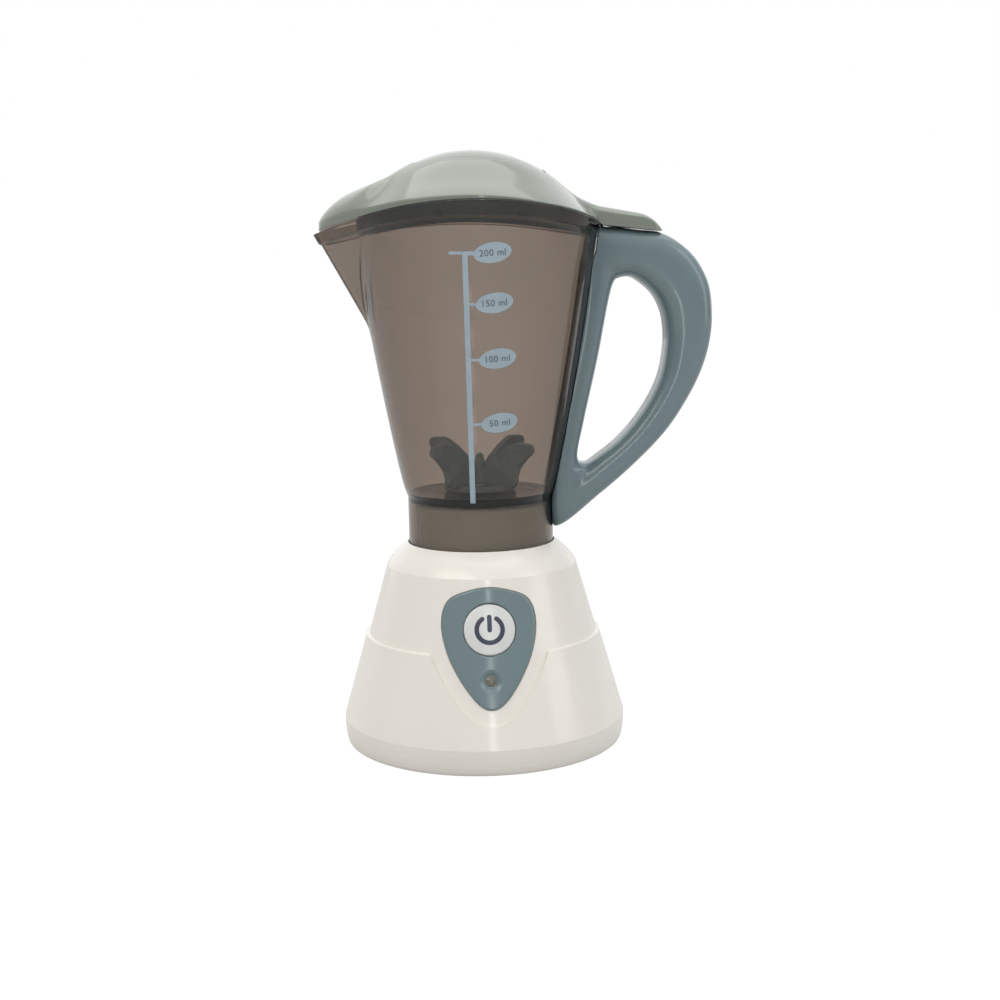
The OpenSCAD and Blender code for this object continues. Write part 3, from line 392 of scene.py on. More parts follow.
def worked_metal(name, code, roughness, along=(1.0, 1.0, 12.0)):
    """Drawn or turned steel. Fine marks run round it, so highlights stretch into bands. The marks are
    0.25 mm apart on the real one and eight times as coarse here, to show in the render."""
    material, tree = blank(name)
    place = add(tree, "TexCoord").outputs["Object"]
    turn = add(tree, "Mapping", {"Scale": along, "Vector": place})
    marks = add(tree, "TexNoise", {"Scale": 1 / (2.0 * MM), "Detail": 3.0,
                 "Vector": turn.outputs["Vector"]})
    rough = add(tree, "MapRange",
                {"From Min": 0.3, "From Max": 0.7, "To Min": roughness * 0.7, "To Max": roughness * 1.4,
                 "Value": marks.outputs["Fac"]})
    ramp = add(tree, "ValToRGB", {"Fac": marks.outputs["Fac"]})
    stops(ramp, tone(code, 0.9), tone(code, 1.05))
    shader = add(tree, "BsdfPrincipled", {"Metallic": 1.0,
                  "Base Color": ramp.outputs["Color"], "Roughness": rough.outputs["Result"]})
    add(tree, "OutputMaterial", {"Surface": shader.outputs["BSDF"]})
    return material


def board_laminate(name, code):
    """Glass-fibre laminate under solder mask: a green skin over a woven cloth of 0.6 mm, whose waves
    are twenty times as coarse here, to show in the render."""
    material, tree = blank(name)
    place = add(tree, "TexCoord").outputs["Object"]
    weave = add(tree, "TexWave", {"Scale": 1 / (0.6 * 20 * MM), "Distortion": 0.4, "Vector": place})
    ramp = add(tree, "ValToRGB", {"Fac": weave.outputs["Fac"]})
    stops(ramp, tone(code, 0.85), tone(code, 1.1))
    shader = add(tree, "BsdfPrincipled", {"Roughness": 0.35, "IOR": 1.52,
                  "Base Color": ramp.outputs["Color"]})
    add(tree, "OutputMaterial", {"Surface": shader.outputs["BSDF"]})
    return material


def cell_jacket(name, code, end_code):
    """A battery's shrunk jacket round a steel can: satin film with its bare steel ends."""
    material, tree = blank(name)
    place = add(tree, "TexCoord").outputs["Object"]
    axes = add(tree, "SeparateXYZ", {"Vector": place})
    reach = add(tree, "Math", {0: axes.outputs["X"]}, operation="ABSOLUTE")
    bare = add(tree, "Math", {1: 24.3 * MM, 0: reach.outputs["Value"]}, operation="GREATER_THAN")
    ramp = add(tree, "ValToRGB", {"Fac": bare.outputs["Value"]})
    stops(ramp, linear(code), linear(end_code))
    shader = add(tree, "BsdfPrincipled", {"Roughness": 0.3,
                  "Base Color": ramp.outputs["Color"], "Metallic": bare.outputs["Value"]})
    add(tree, "OutputMaterial", {"Surface": shader.outputs["BSDF"]})
    return material


FINISHES = {}
PRINT_FILM = {"ior": 1.48, "peel_mm": 0.5, "peel": 0.03, "spread": 0.05, "flow_mm": 4.0}


def finish(name):
    """The finished material of this name, made once."""
    if name not in FINISHES:
        look = bpy.context.scene.toy_blender_colours
        plastics = {
            # Polished moulds: sharp reflections on housing, lid, handle and panel.
            "moulded_gloss_white_abs": dict(code=look.white, roughness=0.16, spread=0.012),
            # The lid's colour is its grey-blue plastic lifted lighter and greener: painted reflection, the
            # veil of overhead light on the dome laid into the colour.
            "moulded_high_gloss_lid_abs": dict(code=look.lid, roughness=0.1, ior=1.58, spread=0.02),
            "moulded_gloss_grey_blue_abs": dict(code=look.grey_blue, roughness=0.14),
            # Painted shade: the lid's skirt is one moulding with the lid but takes a darker, bluer colour, as
            # the photo's band is, for the shade that falls on it inside the jug.
            "moulded_shaded_skirt_abs": dict(code=look.skirt, roughness=0.3, spread=0.02),
            # Plainer moulds: broader, softer reflections.
            "moulded_satin_white_abs": dict(
                code=look.white, roughness=0.38, peel_mm=0.8, peel=0.12, spread=0.015),
            "moulded_pale_seat_abs": dict(code="#e2edea", roughness=0.3, spread=0.015),
            "moulded_gloss_pale_abs": dict(code=look.button, roughness=0.2, spread=0.015),
            "moulded_grey_blue_impeller_abs": dict(code=look.impeller, roughness=0.25),
            "moulded_black_nylon": dict(code="#34373a", roughness=0.4, peel_mm=0.9, peel=0.15),
            "turned_acetal": dict(code="#c9c5ba", roughness=0.35, ior=1.48),
            "moulded_seal_rubber": dict(code="#222325", roughness=0.6, ior=1.52, peel_mm=0.6, peel=0.2),
            "extruded_red_wire_pvc": dict(code="#a02c2a", roughness=0.35),
            "extruded_black_wire_pvc": dict(code="#222426", roughness=0.35),
            # The lamp is seen from outside only, so its clear epoxy is a glossy, uneven grey-brown.
            "cast_lamp_epoxy": dict(
                code="#6e6a60", roughness=0.06, ior=1.6, peel=0.0, spread=0.06, flow_mm=3.0),
            # Pad-printed ink: a thin, nearly matt film whose cover is a little uneven.
            "printed_grey_blue_ink": dict(code=look.print_colour, roughness=0.42, **PRINT_FILM),
            "printed_dark_grey_ink": dict(code=look.text, roughness=0.42, **PRINT_FILM),
            "printed_navy_ink": dict(code=look.symbol, roughness=0.3, **PRINT_FILM),
        }
        others = {
            "moulded_smoky_san": (clear_plastic, look.smoke_density, look.smoke_passed, 0.012, 1.47),
            "drawn_steel": (worked_metal, "#b4b8bc", 0.3),
            "plated_screw_steel": (worked_metal, "#a9adb1", 0.24, (1.0, 1.0, 1.0)),
            "glass_laminate_board": (board_laminate, "#2c6544"),
            "shrunk_cell_jacket": (cell_jacket, "#46545f", "#b9bcbf"),
        }
        if name in plastics:
            FINISHES[name] = moulded_plastic(name, **plastics[name])
        else:
            maker, *values = others[name]
            FINISHES[name] = maker(name, *values)
    return FINISHES[name]


def dress(nodes, material):
    """Gives CAD nodes their material through their slots."""
    for name in nodes:
        obj = NODES[name]
        if not obj.material_slots:
            obj.data.materials.append(None)
        for slot in obj.material_slots:
            slot.material = finish(material)


# ---- Jug ----


def lip_radius(phi, z, d):
    """Distance from the axis to the pouring lip at angle phi from -X: in a level cut it is a nose
    of radius LIP_NOSE_R with two flanks at 45 degrees, and it slides out as it rises."""
    centre = LIP_X + (z - LIP_Z) * np.tan(LIP_LEAN) - LIP_NOSE_R
    r = LIP_NOSE_R + d
    side = np.abs(phi)
    nose = centre * np.cos(side) + np.sqrt(np.maximum(r * r - (centre * np.sin(side)) ** 2, 0))
    flank = (r + centre * np.sqrt(0.5)) / np.cos(np.minimum(side, np.pi / 4) - np.pi / 4)
    touch = np.arctan2(r * np.sqrt(0.5), centre + r * np.sqrt(0.5))
    return np.where(side < touch, nose, flank)


def jug_section(phi, z, d):
    """Distance from the axis to the jug's wall, moved out by d: cone or lip, whichever is farther."""
    return smax(jug_r(z) + d, lip_radius(phi, z, d), 0.7)


def arch_height(phi, d, drop):
    """Height at which the wall meets the rim's arch moved down by drop, found by stepping."""
    z = np.full(phi.shape, RIM_Z)
    for _ in range(24):
        z = arch_z(-jug_section(phi, z, d) * np.cos(phi)) - drop
    return z


def jug_grid():
    """The whole jug as one closed profile carried round the axis: collar, flare, cone and lip
    outside, the band and the rounded rim, the inner wall, the floor with its hole, and the cavity
    that takes the seat. Rows run along the profile and columns round the axis."""
    half = np.concatenate([np.arange(0, 12, 0.75), np.arange(12, 48, 1.2), np.arange(48, 180, 2.4), [180]])
    half = np.radians(half)
    phi = np.concatenate([half, -half[-2:0:-1]])
    one = np.ones(phi.shape)
    cavity_r = SEAT_R + 0.6
    band_z = arch_height(phi, 0, BAND_H)
    rim_z = arch_height(phi, BAND_STEP, 0)
    inner_z = arch_height(phi, -JUG_WALL, 0)
    rows = []

    def wall(z, d):
        rows.append((jug_section(phi, z, d), z))

    def plain(points):
        rows.extend((r * one, z * one) for r, z in points)

    plain(rounded((COLLAR_R, COLLAR_Z), (-1, 0), (0, 1), 0.5))
    plain([(COLLAR_R, z) for z in (74, 80, 86, 90, 92.5, CONE_Z - 0.1)])
    for t in np.linspace(0, 1, 56) ** 1.25:
        wall(CONE_Z + 0.1 + (band_z - 0.35 - CONE_Z) * t, 0)
    for rise, d in ((-0.1, 0.06), (0.0, 0.2), (0.08, 0.45), (0.2, 0.66), (0.4, 0.77), (0.7, BAND_STEP)):
        wall(band_z + rise, d)
    for t in (0.15, 0.35, 0.55, 0.75, 0.93):
        wall(band_z + 0.7 + (rim_z - 0.4 - band_z - 0.7) * t, BAND_STEP)
    for a in np.radians(np.arange(0, 91, 15)):
        wall(rim_z - 0.4 + 0.4 * np.sin(a), BAND_STEP - 0.4 + 0.4 * np.cos(a))
    for a in np.radians(np.arange(90, -1, -15)):
        wall(inner_z - 0.4 + 0.4 * np.sin(a), -JUG_WALL + 0.4 - 0.4 * np.cos(a))
    foot = FLOOR_TOP_Z + 1.2
    for t in np.linspace(1, 0, 58) ** 1.1:
        wall(foot + (inner_z - 0.5 - foot) * t, -JUG_WALL)
    foot_r = float(jug_section(np.array(np.pi), np.array(foot), -JUG_WALL))
    plain(rounded((foot_r, FLOOR_TOP_Z), (0, 1), (-1, 0), 1.2)[1:])
    plain([(r, FLOOR_TOP_Z) for r in (22, 18, 13, 8, 5)])
    plain([(BUSH_R, FLOOR_TOP_Z), (BUSH_R, FLOOR_Z)])
    plain([(r, FLOOR_Z) for r in (5, 10, 16, 21)])
    plain(rounded((cavity_r, FLOOR_Z), (-1, 0), (0, -1), 0.4))
    plain([(cavity_r, z) for z in (88, 84, 80, 76)])
    plain(rounded((cavity_r, COLLAR_Z), (0, 1), (1, 0), 0.4))
    r = np.array([row[0] for row in rows])
    z = np.array([row[1] for row in rows])
    return xyz(-r * np.cos(phi), r * np.sin(phi), z)


# ---- Handle ----

# Outer curve and finger hole, from the rim at the jug; the outer curve was fitted to the photo.
HANDLE_STATIONS = [
    [[-8, -0.7], [5.7, -20.3]], [[3.5, 0.4], [8, -18.4]], [[14.8, -0.85], [12.4, -18.1]],
    [[25, -2.5], [16.6, -20.6]], [[35, -9.6], [20.8, -24.6]], [[41.2, -19.8], [23.6, -29.8]],
    [[42.9, -31.2], [24.9, -35.2]], [[42, -42.4], [25.2, -42.8]], [[38.7, -53.4], [23.4, -53.8]],
    [[33, -64.5], [19.4, -63]], [[25.3, -75.7], [13.6, -71.6]], [[14.3, -87], [7.2, -78.6]],
    [[0.2, -99], [0, -84.2]], [[-17.2, -111.3], [-5, -87.2]], [[-20, -97], [-8.4, -84.4]],
    [[-17, -70], [-5.7, -70.7]], [[-12, -47], [-0.3, -47.2]], [[-9, -28], [3.4, -28.4]]]
HANDLE_SCREWS = np.array([[13, -9.5], [31.5, -48], [0, -91]]) + [RIM_R, RIM_Z]


def handle_skin(z, y):
    """How far out the jug's surface stands at height z and depth y, with the handle's gap, and
    with a ramp over the band round the rim."""
    below = arch_z(RIM_R) - BAND_H - z
    r = jug_r(z) + HANDLE_GAP + BAND_STEP * ease((10 - below) / 5)
    return np.sqrt(np.maximum(r * r - y * y, 0))


def handle_shell(side, inset, quarter):
    """One face of a handle shell: round the loop, each section is half a superellipse between the
    outer curve and the finger hole, |x|^n + |y|^n = 1 with n = HANDLE_SQUARE, and it stops at the
    jug's surface. quarter holds the section's angles from the middle plane to the flat side."""
    outer = smooth_loop([s[0] for s in HANDLE_STATIONS], 12)
    hole = smooth_loop([s[1] for s in HANDLE_STATIONS], 12)
    angle = np.concatenate([quarter, np.pi - quarter[-2::-1]])[None, :]
    middle, across = (outer + hole) / 2, (outer - hole) / 2
    half_w = np.linalg.norm(across, axis=1)
    out = across / half_w[:, None]
    power = 2 / HANDLE_SQUARE
    y = (HANDLE_T / 2 - inset) * np.maximum(np.sin(angle), 0) ** power * np.ones((len(outer), 1))
    groove = 0.0 if inset else 0.14
    reach = half_w[:, None] - inset - groove * np.clip(1 - y / 0.16, 0, 1)
    run = reach * np.sign(np.cos(angle)) * np.abs(np.cos(angle)) ** power
    x = RIM_R + middle[:, :1] + out[:, :1] * run
    z = RIM_Z + middle[:, 1:] + out[:, 1:] * run
    skin = handle_skin(z, y) + inset
    y = np.where(x < skin, np.maximum(y, RIB_HALF), y)
    return np.stack([np.maximum(x, skin), side * y, z], -1)


def handle_grid(side):
    """A handle shell: its outer face and, turned back along it, its inner face 2 mm inside."""
    fine = np.radians(45 * np.linspace(0, 1, 13) ** 1.6)
    fine = np.concatenate([[fine[0], 0.0013, 0.02], fine[2:]])
    quarter = np.concatenate([fine, np.pi / 2 - fine[-2::-1]])
    coarse = np.radians(np.array([0, 4, 12, 25, 45, 65, 78, 90.0]))
    outside = handle_shell(side, 0.0, quarter)
    inside = handle_shell(side, HANDLE_WALL, coarse)[:, ::-1]
    return np.concatenate([outside, inside], 1)


def cylinder_y(x, z, y0, y1, r, turns=48):
    """A closed cylinder along Y as a mesh."""
    angle = np.linspace(0, 2 * np.pi, turns, endpoint=False)
    ring = np.array([[0.0, y0], [r, y0], [r, y1], [0.0, y1]])
    grid = xyz(x + ring[:, :1] * np.cos(angle), ring[:, 1:], z + ring[:, :1] * np.sin(angle))
    return ring_mesh("cutter", grid, close=False)


def joined(mesh, other, operation):
    """The mesh after a boolean with another one."""
    base, tool = linked("base", mesh), linked("tool", other)
    cut = base.modifiers.new("cut", "BOOLEAN")
    cut.object = tool
    cut.operation = operation
    cut.solver = "EXACT"
    bpy.context.view_layer.update()
    result = bpy.data.meshes.new_from_object(base.evaluated_get(bpy.context.evaluated_depsgraph_get()))
    for obj in (base, tool):
        bpy.data.objects.remove(obj)
    return result


# ---- Lid ----


def beak_edge(side, ahead):
    """Reach of the beak's outline at a direction given by its sine and cosine from -X: a parabola
    with a rounded nose."""
    nose = 0.1
    reach = BEAK_REACH * (1 + nose) / (np.sqrt(side**2 + nose**2) + ahead)
    return np.where(ahead > 0.74, reach, 0)


def lid_edge(angle):
    """The lid's outline seen from above: a circle, the beak, and a tab whose corners are rounded
    as a superellipse, (x / reach)^9 + (y / half width)^9 = 1."""
    c, s = np.cos(angle), np.sin(angle)
    round_part = smax(LID_R, beak_edge(-s, -c), 0.6) - 0.1
    ahead = np.maximum(c, 1e-3)
    tab = ((ahead / TAB_REACH) ** 9 + (np.abs(s) / TAB_HALF_W) ** 9) ** (-1 / 9)
    return np.where((c > 0.9) & (tab > round_part), tab, round_part)


def dome_top(x, r):
    """The dome: a paraboloid over a level ring that bends down to follow the rim's arch, with a
    slight hollow half way down, as the square of a sine."""
    f = ease((r - CAP_R - 2.5) / (LID_R - CAP_R - 2.5))
    u = (r / (LID_R + 1.3)) ** 2
    return (1 - f) * ARCH_TOP + f * arch_z(x) + DOME_H * (1 - u) - DOME_HOLLOW * np.sin(np.pi * u) ** 2


def beak_top(x, r, angle):
    """The beak: a rounded ridge that follows the arch and fades out to both sides."""
    q = np.clip((r * BEAK_REACH / lid_edge(angle) - 0.69 * BEAK_REACH) / (0.325 * BEAK_REACH), 0, 1)
    side = ease((-np.cos(angle) - 0.72) / 0.24)
    return arch_z(x) + side * BEAK_H * np.sqrt(1 - q * q) - (1 - side) * 6


def tab_top(x, y):
    """The tab: a falling flat with a rounded end, rounded sides and steep flanks."""
    t = np.clip((x - TAB_DROP_X) / (TAB_REACH - TAB_DROP_X), 0, 1)
    flat = arch_z(LID_R) + TAB_H + TAB_LIFT - TAB_FALL * (x - LID_R) - TAB_END_DROP * (1 - np.sqrt(1 - t * t))
    near = np.clip((np.abs(y) - TAB_HALF_W + TAB_ROUND) / TAB_ROUND, 0, 1)
    side = TAB_SIDE_DROP * (1 - np.sqrt(1 - near**2 * 0.98))
    return flat - side - 4.5 * np.maximum(np.abs(y) - TAB_HALF_W, 0)


def lid_top(x, y):
    """Height of the lid's top: the dome stands a little towards the beak, and runs into the beak
    and the tab with soft hollows."""
    r = np.hypot(x, y)
    top = smax(dome_top(x, np.hypot(x - DOME_X, y)), beak_top(x, r, np.arctan2(y, x)), BEAK_BLEND)
    tab = tab_top(np.maximum(x, 20.0), y)
    outer = np.where(r > LID_R + 1, tab, smax(top, tab, BLEND * ease((LID_R + 1 - r) / 5)))
    return np.where((x > 25) & (np.abs(y) < TAB_HALF_W + 6), outer, top)


def lid_under(x, r):
    """The underside: it follows the rim, and steps up to the handle's slope under the tab."""
    tab = RIM_Z + 0.7 - 0.11 * (x - RIM_R - 2.8)
    return np.where((r > TAB_STEP_R) & (x > 0), tab, arch_z(x) + LID_GAP)


def lid_grid():
    """The lid's moulding as a closed section carried round the axis: the top from the cap's seam
    to the edge, the underside, the skirt that goes into the jug, and the dome's inside."""
    half = [np.arange(0, 24, 0.45), np.arange(24, 138, 2.0), np.arange(138, 180, 1.4), [180]]
    half = np.radians(np.concatenate(half))
    angle = np.concatenate([half, 2 * np.pi - half[-2:0:-1]])
    c, s = np.cos(angle), np.sin(angle)
    edge = lid_edge(angle)
    rs = jug_r(arch_z(LID_R * c) - LID_SKIRT_H) - JUG_WALL - 0.35
    ri = rs - LID_SKIRT_T
    rows = []

    def put(r, z):
        rows.append(np.stack([r * c, r * s, z * np.ones(c.shape)], -1))

    def put_top(r, rise, shift):
        x, y = r * c + DOME_X * shift, r * s
        floor = lid_under(x, np.hypot(x, y)) + LID_EDGE_T if rise > -1 else -np.inf
        rows.append(np.stack([x, y, np.maximum(lid_top(x, y), floor) + rise], -1))

    put_top(CAP_R + 0 * c, -0.3, 1)
    put_top(CAP_R + 0.06 + 0 * c, -0.1, 1)
    last = edge - 0.3
    for t in np.linspace(0, 1, 72):
        share = 0.5 * t + 0.5 * np.sin(np.pi / 2 * t)
        put_top(CAP_R + 0.25 + (last - CAP_R - 0.25) * share, 0, (1 - t) ** 2)
    under = lid_under(edge * c, edge)
    top = np.maximum(lid_top((edge - 0.1) * c, (edge - 0.1) * s), under + LID_EDGE_T)
    top = np.minimum(top, rows[-1][:, 2])
    put(edge - 0.08, top - 0.05)
    put(edge, top - 0.22)
    put(edge, under + 0.16)
    put(edge - 0.06, under + 0.04)
    lip_r = edge - 0.25
    step_out = np.minimum(TAB_STEP_R + 0.1, lip_r - 0.2 * (lip_r - rs))
    step_in = np.minimum(TAB_STEP_R, step_out - 0.1)
    for r in (lip_r, (lip_r + step_out) / 2, step_out, step_in, rs):
        put(r, lid_under(r * c, r))
    foot = arch_z(rs * c) - LID_SKIRT_H
    put(rs, foot + 0.3)
    put(rs - 0.3, foot)
    put(ri + 0.3, foot)
    put(ri, foot + 0.3)
    put(ri, np.minimum(lid_top(ri * c, ri * s) - LID_WALL - 0.6, arch_z(ri * c) + 1))
    for t in (0.1, 0.2, 0.32, 0.45, 0.58, 0.7, 0.85, 1.0):
        put_top(ri + (CAP_R - ri) * t, -LID_WALL, t)
    return np.array(rows)


def cap_profile():
    """The cap in the middle of the lid: it follows the dome, with a rounded edge, and a flange
    below it carries it on the dome's inside."""
    r = CAP_R - CAP_SEAM
    under = LID_WALL + 0.2
    crown = np.linspace(0, r - 0.35, 26)
    lower = np.linspace(CAP_R + 2, 0, 12)
    return np.concatenate([
        np.stack([crown, dome_top(0, crown)], 1),
        [[r - 0.12, dome_top(0, r) + 0.02], [r, dome_top(0, r) - 0.12]],
        [[r, dome_top(0, r) - under], [CAP_R + 2, dome_top(0, CAP_R + 2) - under]],
        np.stack([lower, dome_top(0, lower) - under - 1.2], 1)])


# ---- Control panel, button and prints ----

PANEL_RIGHT = np.array([[0.265, -0.927], [0.565, -0.696], [0.829, -0.392], [0.965, -0.12]])


def panel_outline():
    """The panel's rounded triangle as a closed smooth curve, button centre at 0, 0."""
    right = PANEL_RIGHT * [PANEL_HALF_W, PANEL_BOTTOM]
    crown = np.array([[1, 0.24], [0.91, 0.63], [0.67, 0.85]]) * [PANEL_HALF_W, PANEL_TOP]
    flip = np.array([-1, 1])
    corners = [[[0, -PANEL_BOTTOM]], right, crown, [[0, PANEL_TOP]], crown[::-1] * flip, right[::-1] * flip]
    return smooth_loop(np.concatenate(corners), 24)


def panel_grid():
    """The panel in polar form about the button's centre: from its foot in the pocket, over an edge
    rounded by 0.8 mm, across the proud face to the button's hole and down it. The indicator's
    dimple is a cone sunk into the face."""
    outline = panel_outline()
    bearing = np.arctan2(outline[:, 1], outline[:, 0])
    order = np.argsort(bearing)
    low = np.radians(np.arange(-20, 20.1, 0.7) - 90)
    rest = np.radians(np.arange(-67, 247, 2.4))
    angle = np.concatenate([low, rest])
    reach = np.interp(angle, bearing[order], np.hypot(*outline.T)[order], period=2 * np.pi)
    inner = BUTTON_R + BUTTON_GAP
    soft = 0.8
    c, s = np.cos(angle), np.sin(angle)
    reach = reach - PANEL_SEAM
    rows = [(reach, -PANEL_POCKET), (reach, -0.1)]
    for a in np.radians(np.arange(0, 91, 11.25)):
        rows.append((reach - soft * (1 - np.cos(a)), PANEL_PROUD - 0.55 * (1 - np.sin(a))))
    for t in np.linspace(0, 1, 74)[1:]:
        rows.append((reach - soft + (inner + 0.25 - reach + soft) * t, PANEL_PROUD))
    rows += [(inner + 0.08 + 0 * c, PANEL_PROUD - 0.07), (inner + 0 * c, PANEL_PROUD - 0.25)]
    rows += [(inner + 0 * c, -PANEL_POCKET)]
    points = []
    for r, proud in rows:
        u, v = r * c, r * s
        far = np.hypot(u, v + LED_DROP)
        sink = np.clip((DIMPLE_R + 0.25 - far) / (DIMPLE_R + 0.25 - LED_R - 0.1), 0, 1)
        sunk = 0.95 * smax(sink, 0 * sink, 0.12) - 0.95 * 0.06
        sunk = sunk + 0.5 * np.clip((LED_R + 0.1 - far) / 0.2, 0, 1)
        depth = np.where(far < DIMPLE_R + 1.0, np.maximum(sunk, 0), 0)
        points.append(front_point(u, v, wall_w(u, v, proud) - depth))
    return np.array(points)


def button_crown(r):
    """How far the button's face stands out of its plane at radius r: a flat dome."""
    return PANEL_PROUD - 0.4 + 0.7 * (1 - (r / BUTTON_R) ** 2)


def button_grid():
    """The button turned about its own axis: dome, rounded edge, side, flange and back."""
    crown = np.linspace(0, BUTTON_R - 0.7, 30)
    edge = rounded((BUTTON_R, float(button_crown(BUTTON_R - 0.2))), (-1, 0.1), (0, -1), 0.6, 6)
    flange_r = BUTTON_R + 1.1
    back = [[BUTTON_R, -2.7], [flange_r, -2.7], [flange_r, -3.6], [2.4, -3.6], [2.4, -4.6], [0, -4.6]]
    profile = np.concatenate([np.stack([crown, button_crown(crown)], 1), edge, back])
    return front_point(*np.moveaxis(lathe(profile, 128), -1, 0))


def stroke(path, half_w, place, top, foot, across=4, blunt=False):
    """A line of a print as a thin slab: half its width is half_w along the path and, where the
    ends are round, sqrt(half_w^2 - d^2) within half_w of an end. place turns plan points and a
    height into space."""
    path = np.array(path, float)
    heading = np.gradient(path, axis=0)
    heading /= np.linalg.norm(heading, axis=1)[:, None]
    normal = np.stack([-heading[:, 1], heading[:, 0]], 1)
    back = half_w * np.cos(np.linspace(0, np.pi / 2, 7))[:-1] * (0.01 if blunt else 1)
    start = path[0] - heading[0] * back[:, None]
    end = path[-1] + heading[-1] * back[::-1, None]
    line = np.concatenate([start, path, end])
    side = np.concatenate([np.repeat(normal[:1], 6, 0), normal, np.repeat(normal[-1:], 6, 0)])
    ends = np.full(6, half_w) if blunt else np.sqrt(np.maximum(half_w**2 - back**2, 0))
    width = np.concatenate([ends, np.full(len(path), half_w), ends[::-1]])
    share = np.linspace(-1, 1, across)
    plan = line[:, None] + side[:, None] * (share[None, :] * width[:, None])[..., None]
    upper = place(plan[..., 0], plan[..., 1], top)
    lower = place(plan[..., 0], plan[..., 1], foot)
    return np.concatenate([upper, lower[:, ::-1]], 1)


def oval(centre, half_w, half_h, tilt, place, top, foot):
    """A printed oval as a thin slab in polar form: (a r cos t, b r sin t), turned by its tilt."""
    turn = np.linspace(0, 2 * np.pi, 72, endpoint=False)
    r = np.array([0, 0.35, 0.7, 1.0, 1.0, 0.7, 0.35, 0])[:, None]
    level = np.array([top] * 4 + [foot] * 4)[:, None] * np.ones(turn.shape)
    x, y = half_w * r * np.cos(turn), half_h * r * np.sin(turn)
    return place(*turned(centre, x, y, tilt), level)


# Turn of the scale's front line about the jug, and its marks: height, place of the oval and text.
PRINT_TURN = np.radians(-93.0)
SCALE_MARKS = ((182.9, 5.6, "200 ml"), (165.8, 6.1, "150 ml"), (146.5, 6.9, "100 ml"), (123.6, 7.3, "50 ml"))
SCALE_FOOT_Z = 94.0
SCALE_LEAN = 0.012


def on_jug(u, v, lift):
    """Point u mm round the jug from its front line, at height v, lift mm off its wall."""
    r = jug_r(np.asarray(v, float))
    angle = PRINT_TURN + u / r
    return xyz((r + lift) * np.cos(angle), (r + lift) * np.sin(angle), v)


def on_button(u, v, lift):
    """Point u, v on the button's face, lift mm off it."""
    return front_point(u, v, button_crown(np.hypot(u, v)) + lift)


def slab_mesh(name, grids):
    """One mesh of several closed slabs. A slab whose ends have no width closes on itself."""
    points, faces, first = [], [], 0
    for grid in grids:
        quads = grid_faces(*grid.shape[:2])
        flat = grid.reshape(-1, 3)
        centred = flat - flat.mean(0)
        faces.append((quads[:, ::-1] if enclosed(centred, quads) < 0 else quads) + first)
        points.append(flat)
        first += len(flat)
    mesh = bpy.data.meshes.new(name)
    mesh.from_pydata((np.concatenate(points) * MM).tolist(), [], np.concatenate(faces).tolist())
    merged(mesh, 0.0005 * MM)
    smooth_shade(mesh, 40)
    return mesh


def text_mesh(name, text, height, centre, tilt, place, lift):
    """Plain sans-serif lettering laid on a surface: each glyph's outline is filled, made a thin
    slab, and its points are carried onto the surface by place."""
    curve = bpy.data.curves.new(name, "FONT")
    curve.body = text
    curve.size = height * 1.38
    curve.align_x = "CENTER"
    curve.align_y = "CENTER"
    curve.space_character = 1.08
    curve.extrude = 0.5
    curve.offset = 0.02
    curve.resolution_u = 4
    holder = linked(name, curve)
    bpy.context.view_layer.update()
    mesh = bpy.data.meshes.new_from_object(holder.evaluated_get(bpy.context.evaluated_depsgraph_get()))
    bpy.data.objects.remove(holder)
    flat = np.zeros(len(mesh.vertices) * 3, np.float32)
    mesh.vertices.foreach_get("co", flat)
    x, y, z = flat.reshape(-1, 3).T.astype(float)
    x, y = x - (x.min() + x.max()) / 2, y - (y.min() + y.max()) / 2
    laid = place(*turned(centre, x, y, tilt), np.where(z > 0, lift, lift - 0.05)) * MM
    mesh.vertices.foreach_set("co", laid.astype(np.float32).ravel())
    mesh.update()
    return mesh


# ---- What a user would change ----


def length(name, description, default):
    """A length property, from its default in millimetres."""
    return bpy.props.FloatProperty(name=name, description=description, default=default * MM, unit="LENGTH")


def colour(name, description, default):
    """A colour property, as an sRGB hex code."""
    return bpy.props.StringProperty(name=name, description=description, default=default)


class ToyBlenderSizes(bpy.types.PropertyGroup):
    """Sizes of the prints and of the view."""

    stem_w: length("Scale stem width", "Width of the printed scale's upright line", 1.9)
    stem_at: length("Scale place", "From the front line round the jug to the scale's upright line", -3.9)
    oval_w: length("Oval width", "Width of the printed ovals that hold the numbers", 13.3)
    oval_h: length("Oval height", "Height of the printed ovals that hold the numbers", 6.9)
    oval_tilt: bpy.props.FloatProperty(
        name="Oval tilt", description="Turn of the printed ovals",
        default=np.radians(8.0), subtype="ANGLE")
    digit_h: length("Number height", "Height of the printed numbers", 2.3)
    symbol_r: length("Start symbol radius", "Radius of the start symbol's ring, at its middle", 4.62)
    symbol_w: length("Start symbol stroke", "Width of the start symbol's strokes", 1.65)
    view_from: bpy.props.FloatProperty(
        name="Camera distance", description="Distance of the camera in front of the jug's axis",
        default=0.5443, unit="LENGTH")
    view_z: bpy.props.FloatProperty(
        name="Camera height", description="Height of the camera over the table",
        default=0.1737, unit="LENGTH")


